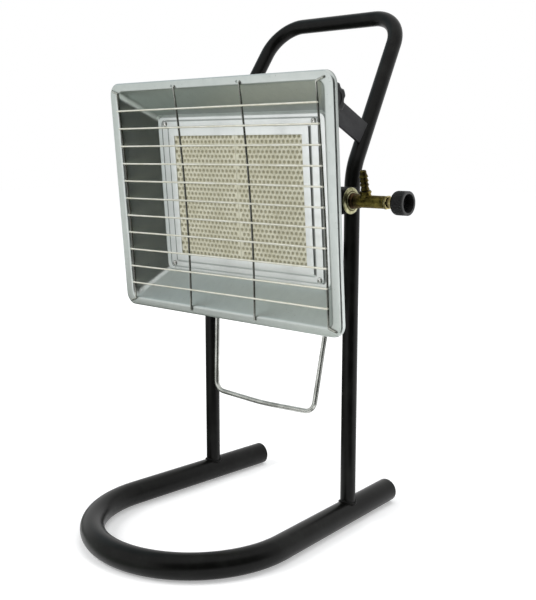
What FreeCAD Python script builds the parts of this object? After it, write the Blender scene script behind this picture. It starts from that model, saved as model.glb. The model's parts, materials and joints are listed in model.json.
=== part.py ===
"""Gas infrared heater on a bent tube stand, as a parametric document in millimetres.

Row frame: origin on the floor midway between the two posts, +Z up, the burner faces -Y.
Face frame of the burner head: origin at the centre of the ceramic face, x across, z up
along the face, -y out of the face.
"""
import FreeCAD, Part
import Sketcher
import math
import os
import re

os.makedirs("parts", exist_ok=True)
doc = FreeCAD.newDocument("gas_infrared_heater")
sheet = doc.addObject("Spreadsheet::Sheet", "sizes")
Vector = FreeCAD.Vector

# Driving sizes, in mm or degrees
names_before_sizes = set(globals())

# Floor tube
base_tube_diameter = 26
base_tube_wall = 1.5
base_arc_forward = 126.5
leg_convergence = 3.5
leg_rear = 82
plug_cap = 1.5
plug_stem = 12
plug_clearance = 0.1
plug_bevel = 1

# Upright hoop
post_spacing = 208
post_diameter = 16.5
post_wall = 1.5
bend_height = 382
bend_radius = 58
hoop_lean = 32.7
hoop_inward = 4.2
handle_height = 549.2
handle_corner_radius = 40
weld_width = 4
weld_rise = 3
weld_drop = 5
weld_crest = 0.2

# Tilt pivot and its clamp
pivot_forward = 50
pivot_height = 454
head_tilt = 4.3
strap_width = 24
strap_thickness = 3
strap_slope = 26.2
clamp_bolt_diameter = 6
pivot_clearance = 0.06
slip_gap = 0.1
spacer_diameter = 16
clamp_bolt_head_diameter = 13
clamp_bolt_head_height = 4
clamp_washer_diameter = 18
clamp_washer_thickness = 1.2
clamp_knob_diameter = 31
clamp_knob_height = 10.5
clamp_hub_diameter = 18
clamp_hub_height = 3.5
clamp_knob_roof = 3
clamp_scallop_radius = 6
clamp_scallop_inset = 2.2
clamp_knob_edge = 1.5
clamp_lobes = 6
clamp_knob_turn = 18

# Ceramic face and the frame round it
face_forward = 19.8
face_drop = 99.4
window_width = 184
window_height = 132
tile_lip = 1.5
tile_clearance = 0.5
tile_thickness = 13
tile_seam = 0.4
lip_thickness = 1
frame_step = 1.5
panel_recess = 3
inner_band = 9.5
screw_band_side = 11
screw_band_top = 7
rim_band_side = 8
rim_band_top = 4.5
rim_corner = 6
screw_band_corner = 5
inner_band_corner = 3
window_corner = 0.8
frame_screw_head = 6.4
frame_screw_head_height = 2.2
frame_screw_diameter = 3.8
frame_screw_tail = 2
frame_screw_slot = 0.8
frame_screw_slot_depth = 1.1
screw_clearance = 0.1

# Reflector
reflector_depth = 32.65
reflector_gauge = 1
reflector_skin = 1.3
reflector_floor_margin = 0.5
reflector_floor_corner = 3
opening_width = 294
opening_height = 233.5
opening_corner = 8
flange_width = 317.6
flange_height = 251.5
flange_corner = 13
flange_lip = 5

# Guard
guard_wire = 2
guard_upright_wire = 2.2
guard_pitch = 19.4
guard_cross_count = 11
guard_half_span = 142
guard_middle_offset = 47.3
guard_hook_over = 3.2
guard_hook_depth = 4
guard_corner_bend = 4
guard_corner_reach = 8.5
guard_corner_start = 113
guard_hole_clearance = 0.2

# Burner box
box_wall = 1
box_depth = 43
box_corner = 1.5
box_flange_inset = 4
gasket_thickness = 3
gasket_width = 6
baffle_gauge = 1
baffle_clearance = 0.2
baffle_slot_width = 8
baffle_slot_height = 100
baffle_slot_pitch = 24
baffle_slot_count = 7

# Gas line, along its own axis
valve_back = 29
valve_drop = 1.3
mixer_diameter = 18
mixer_wall = 1
mixer_length = 150
mixer_flange_gap = 0.25
mixer_mouth_depth = 5.6
mixer_flange_thickness = 1.5
bracket_height = 24.5
bracket_depth = 26
bracket_gauge = 2
bracket_reach = 32
bracket_foot = 11.5
bracket_bend = 1.8
rivet_diameter = 4
rivet_head_diameter = 7
rivet_head_height = 1.4
valve_thread_diameter = 10
valve_thread_clearance = 0.1
valve_washer_diameter = 26.5
valve_washer_thickness = 1.2
valve_washer_dish = 1.2
valve_collar_diameter = 15.5
valve_collar_length = 4
valve_collar_bevel = 0.8
valve_body_diameter = 12.6
valve_body_length = 36
packing_nut_across = 11.5
packing_nut_length = 3.5
packing_nut_bevel = 0.8
packing_nose_diameter = 8.4
packing_nose_length = 5.5
nozzle_hex_across = 13
nozzle_hex_length = 6
nozzle_cone_length = 12
nozzle_tip_diameter = 5
nozzle_bore = 1.2
nozzle_throat = 2
nozzle_shoulder_diameter = 10.4
nozzle_grip = 4.2
spindle_diameter = 6
spindle_clearance = 0.05
spindle_depth = 18
needle_tip_radius = 0.3
needle_gap = 0.3
gas_bore = 4
knob_gap = 1.6
knob_diameter = 23.5
knob_length = 15.5
knob_wall = 2.6
knob_cup = 8
knob_edge = 4
knob_seat = 6
barb_offset = 13
barb_lean = 8.7
barb_boss_diameter = 10.5
barb_boss_height = 8.2
barb_thread_diameter = 6.6
barb_collar_across = 10.5
barb_collar_height = 2.5
barb_crest_diameter = 8.6
barb_root_diameter = 6.8
barb_ridge_length = 4.2
barb_crest_land = 0.6
barb_tip_length = 2.6
barb_ridges = 4
barb_neck = 1
barb_valley = 0.4
barb_tip_taper = 0.6
barb_seat = 4.5
barb_bore = 3.6

# Ears that carry the head
ear_gauge = 2
ear_eye_diameter = 24
ear_foot_width = 28
ear_foot_low = 30
ear_foot_back = 9
ear_rivet_low = 38
ear_rivet_high = 60

# Wire bail
bail_wire = 4.4
bail_pivot_back = 55.4
bail_pivot_drop = 57.7
bail_swing = 11
bail_top_spread = 177.4
bail_bottom_spread = 147.2
bail_length = 177.3
bail_bow = 3
bail_bow_radius = 500
bail_corner_radius = 13
bail_eye_radius = 5
bail_pin = 12
bail_clearance = 0.05
lug_gauge = 2
lug_gap = 4
lug_width = 14
lug_foot = 14

# Every size gets a cell and an alias on the sheet, which drives the model
aliases = [name for name in list(globals()) if name not in names_before_sizes | {"names_before_sizes"}]
for row, name in enumerate(aliases, 1):
    sheet.set(f"A{row}", name)
    sheet.set(f"B{row}", str(globals()[name]))
    sheet.setAlias(f"B{row}", name)
doc.recompute()


def bound(text):
    """Write an expression on the sheet's aliases as other objects need it."""
    def full_name(found):
        word = found.group()
        return f"sizes.{word}" if word in aliases else word
    return re.sub(r"[a-z][a-z0-9_]*", full_name, text)


def value(text):
    """Number that an expression on the sheet's aliases has now."""
    return float(sheet.evalExpression(text))


# Lengths that several pieces share
POST_X = "(post_spacing / 2)"
BASE_RADIUS = "(base_tube_diameter / 2)"
ARC_RADIUS = f"(({POST_X} + base_arc_forward * tan(leg_convergence)) * cos(leg_convergence))"
TILE_X = "(window_width / 2 + tile_lip)"
TILE_Z = "(window_height / 2 + tile_lip)"
BOX_INNER_X = f"({TILE_X} + tile_clearance)"
BOX_INNER_Z = f"({TILE_Z} + tile_clearance)"
BOX_X = f"({BOX_INNER_X} + box_wall)"
BOX_Z = f"({BOX_INNER_Z} + box_wall)"
BAND_X = "(window_width / 2 + inner_band)"
BAND_Z = "(window_height / 2 + inner_band)"
SCREW_X = f"({BAND_X} + screw_band_side / 2)"
SCREW_Z = f"({BAND_Z} + screw_band_top / 2)"
RIM_X = f"({BAND_X} + screw_band_side + rim_band_side)"
RIM_Z = f"({BAND_Z} + screw_band_top + rim_band_top)"
SCREW_SEAT = "(lip_thickness - frame_step)"
FLOOR_BACK = "(panel_recess + reflector_gauge)"
BOX_FLANGE_BACK = f"({FLOOR_BACK} + box_wall)"
BAFFLE_FRONT = "(tile_thickness + gasket_thickness)"
BOX_FLOOR = "(box_depth - box_wall)"
PLATE_X = f"({BOX_X} + bracket_reach)"
WASHER_END = f"({PLATE_X} + valve_washer_thickness + valve_washer_dish)"
COLLAR_END = f"({WASHER_END} + valve_collar_length)"
BODY_END = f"({COLLAR_END} + valve_body_length)"
NUT_END = f"({BODY_END} + packing_nut_length + packing_nose_length)"
KNOB_BACK = f"({NUT_END} + knob_gap)"
STRAP_INNER = f"({POST_X} - strap_thickness / 2)"
STRAP_OUTER = f"({POST_X} + strap_thickness / 2)"
KNOB_SEAT = f"({STRAP_OUTER} + 2 * slip_gap + clamp_washer_thickness)"
CLAMP_TIP = f"({KNOB_SEAT} + clamp_hub_height + clamp_knob_height - clamp_knob_roof)"


# Corner radius of a hexagon piece, as a share of its width across the flats
HEXAGON_CORNER = 0.56


# Frames of reference

def reference(name, placement):
    """Named point whose placement other pieces follow."""
    made = doc.addObject("Part::Vertex", name)
    made.setExpression("Placement", bound(placement))
    return made


def shifted(across, back, up, turn=None, axis="1; 0; 0"):
    """Text of a local placement: a shift, then a turn about one axis."""
    spin = f"rotation(vector({axis}); {turn})" if turn else "rotation(vector(1; 0; 0); 0)"
    return f"placement(vector({across}; {back}; {up}); {spin})"


reference("pivot_frame", shifted("0", "-pivot_forward", "pivot_height", "head_tilt"))
reference("face_frame", f"pivot_frame.Placement * {shifted('0', '-face_forward', '-face_drop')}")
reference("gas_frame", f"face_frame.Placement * {shifted('0', 'valve_back', '-valve_drop')}")
reference("barb_frame", "gas_frame.Placement * "
          + shifted(f"{COLLAR_END} + barb_offset", "0", "0", "barb_lean"))
reference("bail_frame", "face_frame.Placement * "
          + shifted("0", "bail_pivot_back", "-bail_pivot_drop", "-bail_swing"))
doc.recompute()


def seat(piece, frame, local=None):
    """Tie a piece's placement to a frame of reference."""
    text = f"{frame}.Placement" + (f" * {local}" if local else "")
    piece.setExpression("Placement", bound(text))
    return piece


# Sketches and features

def new_body(name):
    made = doc.addObject("PartDesign::Body", name)
    made.Label = name
    return made


def sketch_on(owner, role, level="0"):
    """Sketch on one of a body's own planes, moved along the plane's normal."""
    made = owner.newObject("Sketcher::SketchObject", f"{owner.Name}_sketch")
    plane = next(f for f in owner.Origin.OriginFeatures if f.Role == role)
    made.AttachmentSupport = [(plane, "")]
    made.MapMode = "FlatFace"
    if level != "0":
        made.setExpression("AttachmentOffset.Base.z", bound(level))
    return made


def dimension(sketch, kind, text, *places):
    """Driving constraint whose value is an expression on the sheet."""
    index = sketch.addConstraint(Sketcher.Constraint(kind, *places, value(text)))
    sketch.setExpression(f"Constraints[{index}]", bound(text))


def pin_point(sketch, piece, end, across, up):
    """Hold a sketch point at two expressions measured from the origin."""
    for kind, text, axis in (("DistanceX", across, -2), ("DistanceY", up, -1)):
        if text == "0":
            sketch.addConstraint(Sketcher.Constraint("PointOnObject", piece, end, axis))
        else:
            dimension(sketch, kind, text, -1, 1, piece, end)


def polygon(sketch, corners):
    """Closed outline of straight lines through corners given as pairs of expressions."""
    spots = [Vector(value(across), value(up), 0) for across, up in corners]
    lines = [sketch.addGeometry(Part.LineSegment(a, b)) for a, b in zip(spots, spots[1:] + spots[:1])]
    for here, following in zip(lines, lines[1:] + lines[:1]):
        sketch.addConstraint(Sketcher.Constraint("Coincident", here, 2, following, 1))
    for line, (across, up) in zip(lines, corners):
        pin_point(sketch, line, 1, across, up)


def rectangle(sketch, half_width, half_height, across="0", up="0"):
    """Sharp rectangle centred on a point."""
    polygon(sketch, [(f"{across} {sx} {half_width}", f"{up} {sz} {half_height}")
                     for sx, sz in (("-", "-"), ("+", "-"), ("+", "+"), ("-", "+"))])


def circle(sketch, across, up, radius):
    ring = Part.Circle(Vector(value(across), value(up), 0), Vector(0, 0, 1), value(radius))
    made = sketch.addGeometry(ring)
    pin_point(sketch, made, 3, across, up)
    dimension(sketch, "Radius", radius, made)


def rounded_rectangle(sketch, half_width, half_height, radius):
    """Rectangle about the origin with equal round corners."""
    wide, tall, bend = value(half_width), value(half_height), value(radius)
    straight, round_off = [], []
    for quarter in range(4):
        turn = FreeCAD.Rotation(Vector(0, 0, 1), 90 * quarter)
        along, aside = (wide, tall) if quarter % 2 == 0 else (tall, wide)
        first = turn.multVec(Vector(bend - along, -aside, 0))
        last = turn.multVec(Vector(along - bend, -aside, 0))
        centre = turn.multVec(Vector(along - bend, bend - aside, 0))
        start = math.radians(90 * quarter - 90)
        arc = Part.ArcOfCircle(Part.Circle(centre, Vector(0, 0, 1), bend), start, start + math.pi / 2)
        straight.append(sketch.addGeometry(Part.LineSegment(first, last)))
        round_off.append(sketch.addGeometry(arc))
    for quarter in range(4):
        follower = straight[(quarter + 1) % 4]
        sketch.addConstraint(Sketcher.Constraint("Tangent", straight[quarter], 2, round_off[quarter], 1))
        sketch.addConstraint(Sketcher.Constraint("Tangent", round_off[quarter], 2, follower, 1))
        level = "Vertical" if quarter % 2 else "Horizontal"
        sketch.addConstraint(Sketcher.Constraint(level, straight[quarter]))
    for other in round_off[1:]:
        sketch.addConstraint(Sketcher.Constraint("Equal", round_off[0], other))
    dimension(sketch, "Radius", radius, round_off[0])
    dimension(sketch, "DistanceX", f"2 * {half_width}", straight[3], 1, straight[1], 1)
    dimension(sketch, "DistanceY", f"2 * {half_height}", straight[0], 1, straight[2], 1)
    sketch.addConstraint(Sketcher.Constraint("Symmetric", round_off[0], 3, round_off[2], 3, -1, 1))


def pad(owner, sketch, length):
    made = owner.newObject("PartDesign::Pad", f"{owner.Name}_pad")
    made.Profile = sketch
    made.setExpression("Length", bound(length))
    return made


def pocket(owner, sketch, length, ahead=False):
    """Cut against the sketch's normal, or along it with ahead; a cut that removes nothing is an error."""
    doc.recompute()
    before = owner.Shape.Volume
    made = owner.newObject("PartDesign::Pocket", f"{owner.Name}_pocket")
    made.Profile = sketch
    made.Reversed = ahead
    made.setExpression("Length", bound(length))
    doc.recompute()
    if owner.Shape.Volume >= before:
        raise RuntimeError(f"{owner.Label}: a cut removes nothing")
    return made


def loft(owner, kind, first, last):
    made = owner.newObject(f"PartDesign::{kind}", f"{owner.Name}_loft")
    made.Profile = first
    made.Sections = [last]
    made.Ruled = True
    return made


def round_edges(owner, radius, wanted):
    """Fillet the edges of a body's last feature that a test picks out."""
    doc.recompute()
    last = owner.Tip
    edges = [f"Edge{i}" for i, edge in enumerate(last.Shape.Edges, 1) if wanted(edge)]
    made = owner.newObject("PartDesign::Fillet", f"{owner.Name}_round")
    made.Base = (last, edges)
    made.setExpression("Radius", bound(radius))
    return made


def turned(name, corners):
    """Body turned about its x axis from an outline of (along, radius) pairs."""
    made = new_body(name)
    outline = sketch_on(made, "XY_Plane")
    polygon(outline, corners)
    spin = made.newObject("PartDesign::Revolution", f"{name}_turn")
    spin.Profile = outline
    spin.ReferenceAxis = (outline, ["H_Axis"])
    spin.Angle = 360
    return made


def hexagon_radius(across):
    """Turned radius of a hexagon whose corners are slightly rounded off."""
    return f"{across} * {HEXAGON_CORNER}"


def hexagon_cut(owner, across, start, length):
    """Trim a turned body to a hexagon between two places along its axis."""
    outline = sketch_on(owner, "YZ_Plane", start)
    half = f"({across} / 2)"
    point = f"({half} / cos(30))"
    polygon(outline, [("0", point), (f"-{half}", f"{point} / 2"), (f"-{half}", f"-{point} / 2"),
                      ("0", f"-{point}"), (half, f"-{point} / 2"), (half, f"{point} / 2")])
    circle(outline, "0", "0", across)
    return pocket(owner, outline, length, ahead=True)


def solid(name, shape):
    """Piece whose shape is made from swept runs and arcs."""
    made = doc.addObject("Part::Feature", name)
    made.Label = name
    made.Shape = shape
    return made


def rounded_path(points, radii):
    """Straight runs through the points, joined by tangent arcs at the inner ones."""
    edges = []
    start = points[0]
    for before, corner, after, radius in zip(points, points[1:], points[2:], radii):
        back = (before - corner).normalize()
        ahead = (after - corner).normalize()
        half = back.getAngle(ahead) / 2
        enter = corner + back * (radius / math.tan(half))
        leave = corner + ahead * (radius / math.tan(half))
        middle = corner + (back + ahead).normalize() * (radius / math.sin(half) - radius)
        edges.append(Part.LineSegment(start, enter).toShape())
        edges.append(Part.Arc(enter, middle, leave).toShape())
        start = leave
    edges.append(Part.LineSegment(start, points[-1]).toShape())
    return Part.Wire(edges)


def rod(path, radius):
    """Round bar along a path, with its volume checked against section times length."""
    first = path.OrderedEdges[0]
    start = path.OrderedVertexes[0].Point
    heading = first.tangentAt(first.FirstParameter)
    ring = Part.Wire([Part.makeCircle(radius, start, heading)])
    made = path.makePipeShell([ring], True, False)
    expected = math.pi * radius ** 2 * path.Length
    if abs(made.Volume - expected) > 0.01 * expected:
        raise RuntimeError("a bar's volume differs from its section times its length")
    return made


# The stand

def base_path():
    """Centreline of the floor tube: two converging legs joined by a wide arc in front."""
    radius = value(ARC_RADIUS)
    lean = math.radians(value("leg_convergence"))
    forward = value("base_arc_forward")
    height = value(BASE_RADIUS)
    rear = value("leg_rear - plug_cap")
    foot = Vector(radius * math.cos(lean), radius * math.sin(lean) - forward, height)
    end = Vector(value(POST_X) - rear * math.tan(lean), rear, height)
    front = Vector(0, -forward - radius, height)
    other_foot = Vector(-foot.x, foot.y, height)
    other_end = Vector(-end.x, end.y, height)
    return Part.Wire([Part.LineSegment(end, foot).toShape(),
                      Part.Arc(foot, front, other_foot).toShape(),
                      Part.LineSegment(other_foot, other_end).toShape()])


def hoop_path():
    """Centreline of the hoop: two posts that bend back and meet in the handle."""
    foot = Vector(value(POST_X), 0, value(BASE_RADIUS))
    corner = Vector(foot.x, 0, value("bend_height"))
    rise = value("handle_height - bend_height")
    lean = math.radians(value("hoop_lean"))
    inward = rise / math.cos(lean) * math.tan(math.radians(value("hoop_inward")))
    top = Vector(foot.x - inward, rise * math.tan(lean), value("handle_height"))
    right = [foot, corner, top]
    left = [Vector(-spot.x, spot.y, spot.z) for spot in reversed(right)]
    bend, turn = value("bend_radius"), value("handle_corner_radius")
    return rounded_path(right + left, [bend, turn, turn, bend])


base_line, hoop_line = base_path(), hoop_path()
base_bar = rod(base_line, value(BASE_RADIUS))
hoop_bar = rod(hoop_line, value("post_diameter / 2"))
base_bore = rod(base_line, value("base_tube_diameter / 2 - base_tube_wall"))
hoop_bore = rod(hoop_line, value("post_diameter / 2 - post_wall"))

base_tube = solid("base_tube", base_bar.cut(base_bore))
upright_hoop = solid("upright_hoop", hoop_bar.cut(hoop_bore).cut(base_bar))


def make_end_plugs():
    """Push-in plugs that close the rear ends of the floor tube."""
    plug = turned("end_plug_pattern", [
        ("0", "0"), ("plug_cap", "0"), ("plug_cap", f"{BASE_RADIUS} - plug_bevel"),
        ("plug_cap - plug_bevel", BASE_RADIUS),
        ("0", BASE_RADIUS), ("0", f"{BASE_RADIUS} - base_tube_wall - plug_clearance"),
        ("-plug_stem", f"{BASE_RADIUS} - base_tube_wall - plug_clearance"), ("-plug_stem", "0")])
    doc.recompute()
    copies = []
    for side in (1, -1):
        end = base_line.OrderedVertexes[0].Point
        lean = math.radians(value("leg_convergence"))
        copy = plug.Shape.copy()
        turn = FreeCAD.Rotation(Vector(1, 0, 0), Vector(-side * math.sin(lean), math.cos(lean), 0))
        copy.Placement = FreeCAD.Placement(Vector(side * end.x, end.y, end.z), turn)
        copies.append(copy)
    return solid("base_end_plugs", Part.makeCompound(copies))


def make_post_welds():
    """Fillet welds round the feet of the posts, on the floor tube."""
    low, height = value("base_tube_diameter - weld_drop"), value("weld_drop + weld_rise")
    wide, narrow = value("post_diameter / 2 + weld_width"), value("post_diameter / 2 + weld_crest")
    beads = []
    for side in (1, -1):
        foot = Vector(side * value(POST_X), 0, low)
        bead = Part.makeCone(wide, narrow, height, foot)
        beads.append(bead.cut(base_bar).cut(hoop_bar))
    return solid("post_welds", Part.makeCompound(beads))


base_end_plugs = make_end_plugs()
post_welds = make_post_welds()


def make_strap(name, side):
    """Flat bar from the leaning part of a post out to the tilt pivot, coped to the tube."""
    bar = new_body(f"{name}_bar")
    level = STRAP_INNER if side > 0 else f"-{STRAP_OUTER}"
    flat = sketch_on(bar, "YZ_Plane", level)
    end = ("((pivot_forward * cos(hoop_lean) + (pivot_height - bend_height) * sin(hoop_lean))"
           " / cos(hoop_lean - strap_slope))")
    polygon(flat, [("0", "-strap_width / 2"), (end, "-strap_width / 2"),
                   (end, "strap_width / 2"), ("0", "strap_width / 2")])
    pad(bar, flat, "strap_thickness")
    eye = sketch_on(bar, "YZ_Plane", level)
    circle(eye, "0", "0", "strap_width / 2")
    pad(bar, eye, "strap_thickness")
    hole = sketch_on(bar, "YZ_Plane", level)
    circle(hole, "0", "0", "clamp_bolt_diameter / 2 + pivot_clearance")
    pocket(bar, hole, "strap_thickness", ahead=True)
    bar.setExpression("Placement", bound(shifted("0", "-pivot_forward", "pivot_height", "-strap_slope")))
    doc.recompute()
    return solid(name, bar.Shape.cut(hoop_bar))


strap_left = make_strap("strap_left", -1)
strap_right = make_strap("strap_right", 1)


# The burner face

def make_reflector():
    """Pressed sheet tray: flat floor, four sloping walls, front flange with a return lip."""
    made = new_body("reflector")
    floor_x = f"({RIM_X} + reflector_floor_margin)"
    floor_z = f"({RIM_Z} + reflector_floor_margin)"
    low = sketch_on(made, "XZ_Plane", f"-{FLOOR_BACK}")
    rounded_rectangle(low, f"({floor_x} + reflector_skin)", f"({floor_z} + reflector_skin)",
                      "reflector_floor_corner + reflector_skin")
    high = sketch_on(made, "XZ_Plane", "reflector_depth")
    rounded_rectangle(high, "(opening_width / 2 + reflector_skin)", "(opening_height / 2 + reflector_skin)",
                      "opening_corner + reflector_skin")
    loft(made, "AdditiveLoft", low, high)
    face = sketch_on(made, "XZ_Plane", "reflector_depth - reflector_gauge")
    rounded_rectangle(face, "(flange_width / 2)", "(flange_height / 2)", "flange_corner")
    pad(made, face, "reflector_gauge")
    edge = sketch_on(made, "XZ_Plane", "reflector_depth - flange_lip")
    rounded_rectangle(edge, "(flange_width / 2)", "(flange_height / 2)", "flange_corner")
    rounded_rectangle(edge, "(flange_width / 2 - reflector_gauge)", "(flange_height / 2 - reflector_gauge)",
                      "flange_corner - reflector_gauge")
    pad(made, edge, "flange_lip")
    floor = sketch_on(made, "XZ_Plane", "-panel_recess")
    rounded_rectangle(floor, floor_x, floor_z, "reflector_floor_corner")
    mouth = sketch_on(made, "XZ_Plane", "reflector_depth")
    rounded_rectangle(mouth, "(opening_width / 2)", "(opening_height / 2)", "opening_corner")
    loft(made, "SubtractiveLoft", floor, mouth)
    hole = sketch_on(made, "XZ_Plane", "-panel_recess")
    rounded_rectangle(hole, BOX_INNER_X, BOX_INNER_Z, "box_corner")
    screw_holes(hole)
    pocket(made, hole, "reflector_gauge")
    hooks = sketch_on(made, "XZ_Plane", "reflector_depth")
    for side in ("-", ""):
        for end in ("-", ""):
            for across, up in (GUARD_MIDDLE_HOOK, GUARD_CORNER_HOOK):
                circle(hooks, f"{side}{across}", f"{end}{up}", GUARD_HOLE)
    pocket(made, hooks, "reflector_gauge")
    return seat(made, "face_frame")


def screw_holes(sketch):
    """Four holes for the screws that hold the tile frame."""
    radius = "frame_screw_diameter / 2 + screw_clearance"
    for side in ("-", ""):
        for end in ("-", ""):
            circle(sketch, f"{side}{SCREW_X}", f"{end}{SCREW_Z}", radius)


GUARD_HOLE = "(guard_upright_wire / 2 + guard_hole_clearance)"
GUARD_MIDDLE_HOOK = ("guard_middle_offset", "(opening_height / 2 + guard_hook_over)")
GUARD_CORNER_HOOK = ("(guard_half_span + guard_corner_reach)", "(guard_corner_start + guard_corner_reach)")


def make_tile_frame():
    """Pressed frame in three steps, whose lip holds the ceramic plates."""
    made = new_body("tile_frame")
    steps = ((RIM_X, RIM_Z, "rim_corner", "lip_thickness - 2 * frame_step"),
             (f"({RIM_X} - rim_band_side)", f"({RIM_Z} - rim_band_top)", "screw_band_corner", SCREW_SEAT),
             (BAND_X, BAND_Z, "inner_band_corner", "lip_thickness"))
    for half_width, half_height, corner, top in steps:
        outline = sketch_on(made, "XZ_Plane", "-panel_recess")
        rounded_rectangle(outline, half_width, half_height, corner)
        pad(made, outline, f"panel_recess + {top}")
    nest = sketch_on(made, "XZ_Plane", "-panel_recess")
    rounded_rectangle(nest, BOX_INNER_X, BOX_INNER_Z, "window_corner")
    pocket(made, nest, "panel_recess", ahead=True)
    window = sketch_on(made, "XZ_Plane")
    rounded_rectangle(window, "(window_width / 2)", "(window_height / 2)", "window_corner")
    pocket(made, window, "lip_thickness", ahead=True)
    holes = sketch_on(made, "XZ_Plane", SCREW_SEAT)
    screw_holes(holes)
    pocket(made, holes, f"panel_recess + {SCREW_SEAT}")
    return seat(made, "face_frame")


def make_tile(name, side):
    """One ceramic burner plate."""
    made = doc.addObject("Part::Box", name)
    made.Label = name
    made.setExpression("Length", bound(f"{TILE_X} - tile_seam / 2"))
    made.setExpression("Width", "sizes.tile_thickness")
    made.setExpression("Height", bound(f"2 * {TILE_Z}"))
    left = "tile_seam / 2" if side > 0 else f"-{TILE_X}"
    return seat(made, "face_frame", shifted(left, "0", f"-{TILE_Z}"))


def make_tile_gasket():
    """Fibre strip that beds the ceramic plates on the baffle."""
    made = new_body("tile_gasket")
    ring = sketch_on(made, "XZ_Plane", f"-{BAFFLE_FRONT}")
    rounded_rectangle(ring, f"({BOX_INNER_X} - baffle_clearance)", f"({BOX_INNER_Z} - baffle_clearance)",
                      "box_corner")
    rectangle(ring, f"({BOX_INNER_X} - gasket_width)", f"({BOX_INNER_Z} - gasket_width)")
    pad(made, ring, "gasket_thickness")
    return seat(made, "face_frame")


def make_burner_box():
    """Pressed plenum box with a flange behind the reflector's floor."""
    made = new_body("burner_box")
    shell = sketch_on(made, "XZ_Plane", "-box_depth")
    rounded_rectangle(shell, BOX_X, BOX_Z, "box_corner + box_wall")
    pad(made, shell, f"box_depth - {FLOOR_BACK}")
    flange = sketch_on(made, "XZ_Plane", f"-{BOX_FLANGE_BACK}")
    rounded_rectangle(flange, f"({RIM_X} - box_flange_inset)", f"({RIM_Z} - box_flange_inset / 2)",
                      "rim_corner")
    pad(made, flange, "box_wall")
    hollow = sketch_on(made, "XZ_Plane", f"-{FLOOR_BACK}")
    rounded_rectangle(hollow, BOX_INNER_X, BOX_INNER_Z, "box_corner")
    pocket(made, hollow, f"{BOX_FLOOR} - {FLOOR_BACK}")
    holes = sketch_on(made, "XZ_Plane", f"-{FLOOR_BACK}")
    screw_holes(holes)
    pocket(made, holes, "box_wall")
    side = sketch_on(made, "YZ_Plane", BOX_X)
    circle(side, "valve_back", "-valve_drop", "mixer_diameter / 2 + screw_clearance")
    for drop in ("-", ""):
        circle(side, "valve_back", f"{drop}{BRACKET_RIVET} - valve_drop", "rivet_diameter / 2")
    pocket(made, side, "box_wall")
    for level in (f"-{BOX_INNER_X}", BOX_X):
        ear_holes = sketch_on(made, "YZ_Plane", level)
        for up in ("ear_rivet_low", "ear_rivet_high"):
            circle(ear_holes, EAR_RIVET_BACK, up, "rivet_diameter / 2")
        pocket(made, ear_holes, "box_wall")
    return seat(made, "face_frame")


BRACKET_RIVET = "(bracket_height / 2 + bracket_foot / 2)"
EAR_RIVET_BACK = "(ear_foot_back + ear_foot_width / 2)"


def make_baffle():
    """Slotted tray that spreads the gas behind the plates and carries their gasket."""
    made = new_body("baffle_tray")
    half_x = f"({BOX_INNER_X} - baffle_clearance)"
    half_z = f"({BOX_INNER_Z} - baffle_clearance)"
    face = sketch_on(made, "XZ_Plane", f"-{BAFFLE_FRONT} - baffle_gauge")
    rounded_rectangle(face, half_x, half_z, "box_corner")
    pad(made, face, "baffle_gauge")
    walls = sketch_on(made, "XZ_Plane", f"-{BOX_FLOOR}")
    rounded_rectangle(walls, half_x, half_z, "box_corner")
    rectangle(walls, f"({half_x} - baffle_gauge)", f"({half_z} - baffle_gauge)")
    pad(made, walls, f"{BOX_FLOOR} - {BAFFLE_FRONT}")
    slot = sketch_on(made, "XZ_Plane", f"-{BAFFLE_FRONT}")
    first = "(baffle_slot_pitch * (baffle_slot_count - 1) / 2)"
    rectangle(slot, "baffle_slot_width / 2", "baffle_slot_height / 2", across=f"-{first}")
    cut = pocket(made, slot, "baffle_gauge")
    row = made.newObject("PartDesign::LinearPattern", "baffle_slots")
    row.Originals = [cut]
    row.Direction = (slot, ["H_Axis"])
    row.setExpression("Length", bound(f"2 * {first}"))
    row.setExpression("Occurrences", "sizes.baffle_slot_count")
    made.Tip = row
    side = sketch_on(made, "YZ_Plane", half_x)
    circle(side, "valve_back", "-valve_drop", "mixer_diameter / 2 + screw_clearance")
    pocket(made, side, "baffle_gauge")
    return seat(made, "face_frame")


def make_frame_screws():
    """Four pan-head screws through frame, reflector floor and box flange."""
    radius = "frame_screw_diameter / 2"
    tail = f"-({BOX_FLANGE_BACK} + {SCREW_SEAT} + frame_screw_tail)"
    screw = turned("frame_screw_pattern", [
        (tail, "0"), ("frame_screw_head_height", "0"), ("frame_screw_head_height", "frame_screw_head / 4"),
        ("frame_screw_head_height / 2", "frame_screw_head / 2"), ("0", "frame_screw_head / 2"),
        ("0", radius), (tail, radius)])
    for half_width, half_height in (("frame_screw_head / 4", "frame_screw_slot / 2"),
                                    ("frame_screw_slot / 2", "frame_screw_head / 4")):
        slot = sketch_on(screw, "YZ_Plane", "frame_screw_head_height")
        rectangle(slot, half_width, half_height)
        pocket(screw, slot, "frame_screw_slot_depth")
    out = FreeCAD.Rotation(Vector(1, 0, 0), Vector(0, -1, 0))
    copies = []
    for side in (1, -1):
        for end in (1, -1):
            copy = screw.Shape.copy()
            spot = Vector(side * value(SCREW_X), -value(SCREW_SEAT), end * value(SCREW_Z))
            copy.Placement = FreeCAD.Placement(spot, out)
            copies.append(copy)
    return seat(solid("tile_frame_screws", Part.makeCompound(copies)), "face_frame")


reflector = make_reflector()
tile_frame = make_tile_frame()
ceramic_tile_left = make_tile("ceramic_tile_left", -1)
ceramic_tile_right = make_tile("ceramic_tile_right", 1)
tile_gasket = make_tile_gasket()
burner_box = make_burner_box()
baffle_tray = make_baffle()
tile_frame_screws = make_frame_screws()


# The guard

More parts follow.
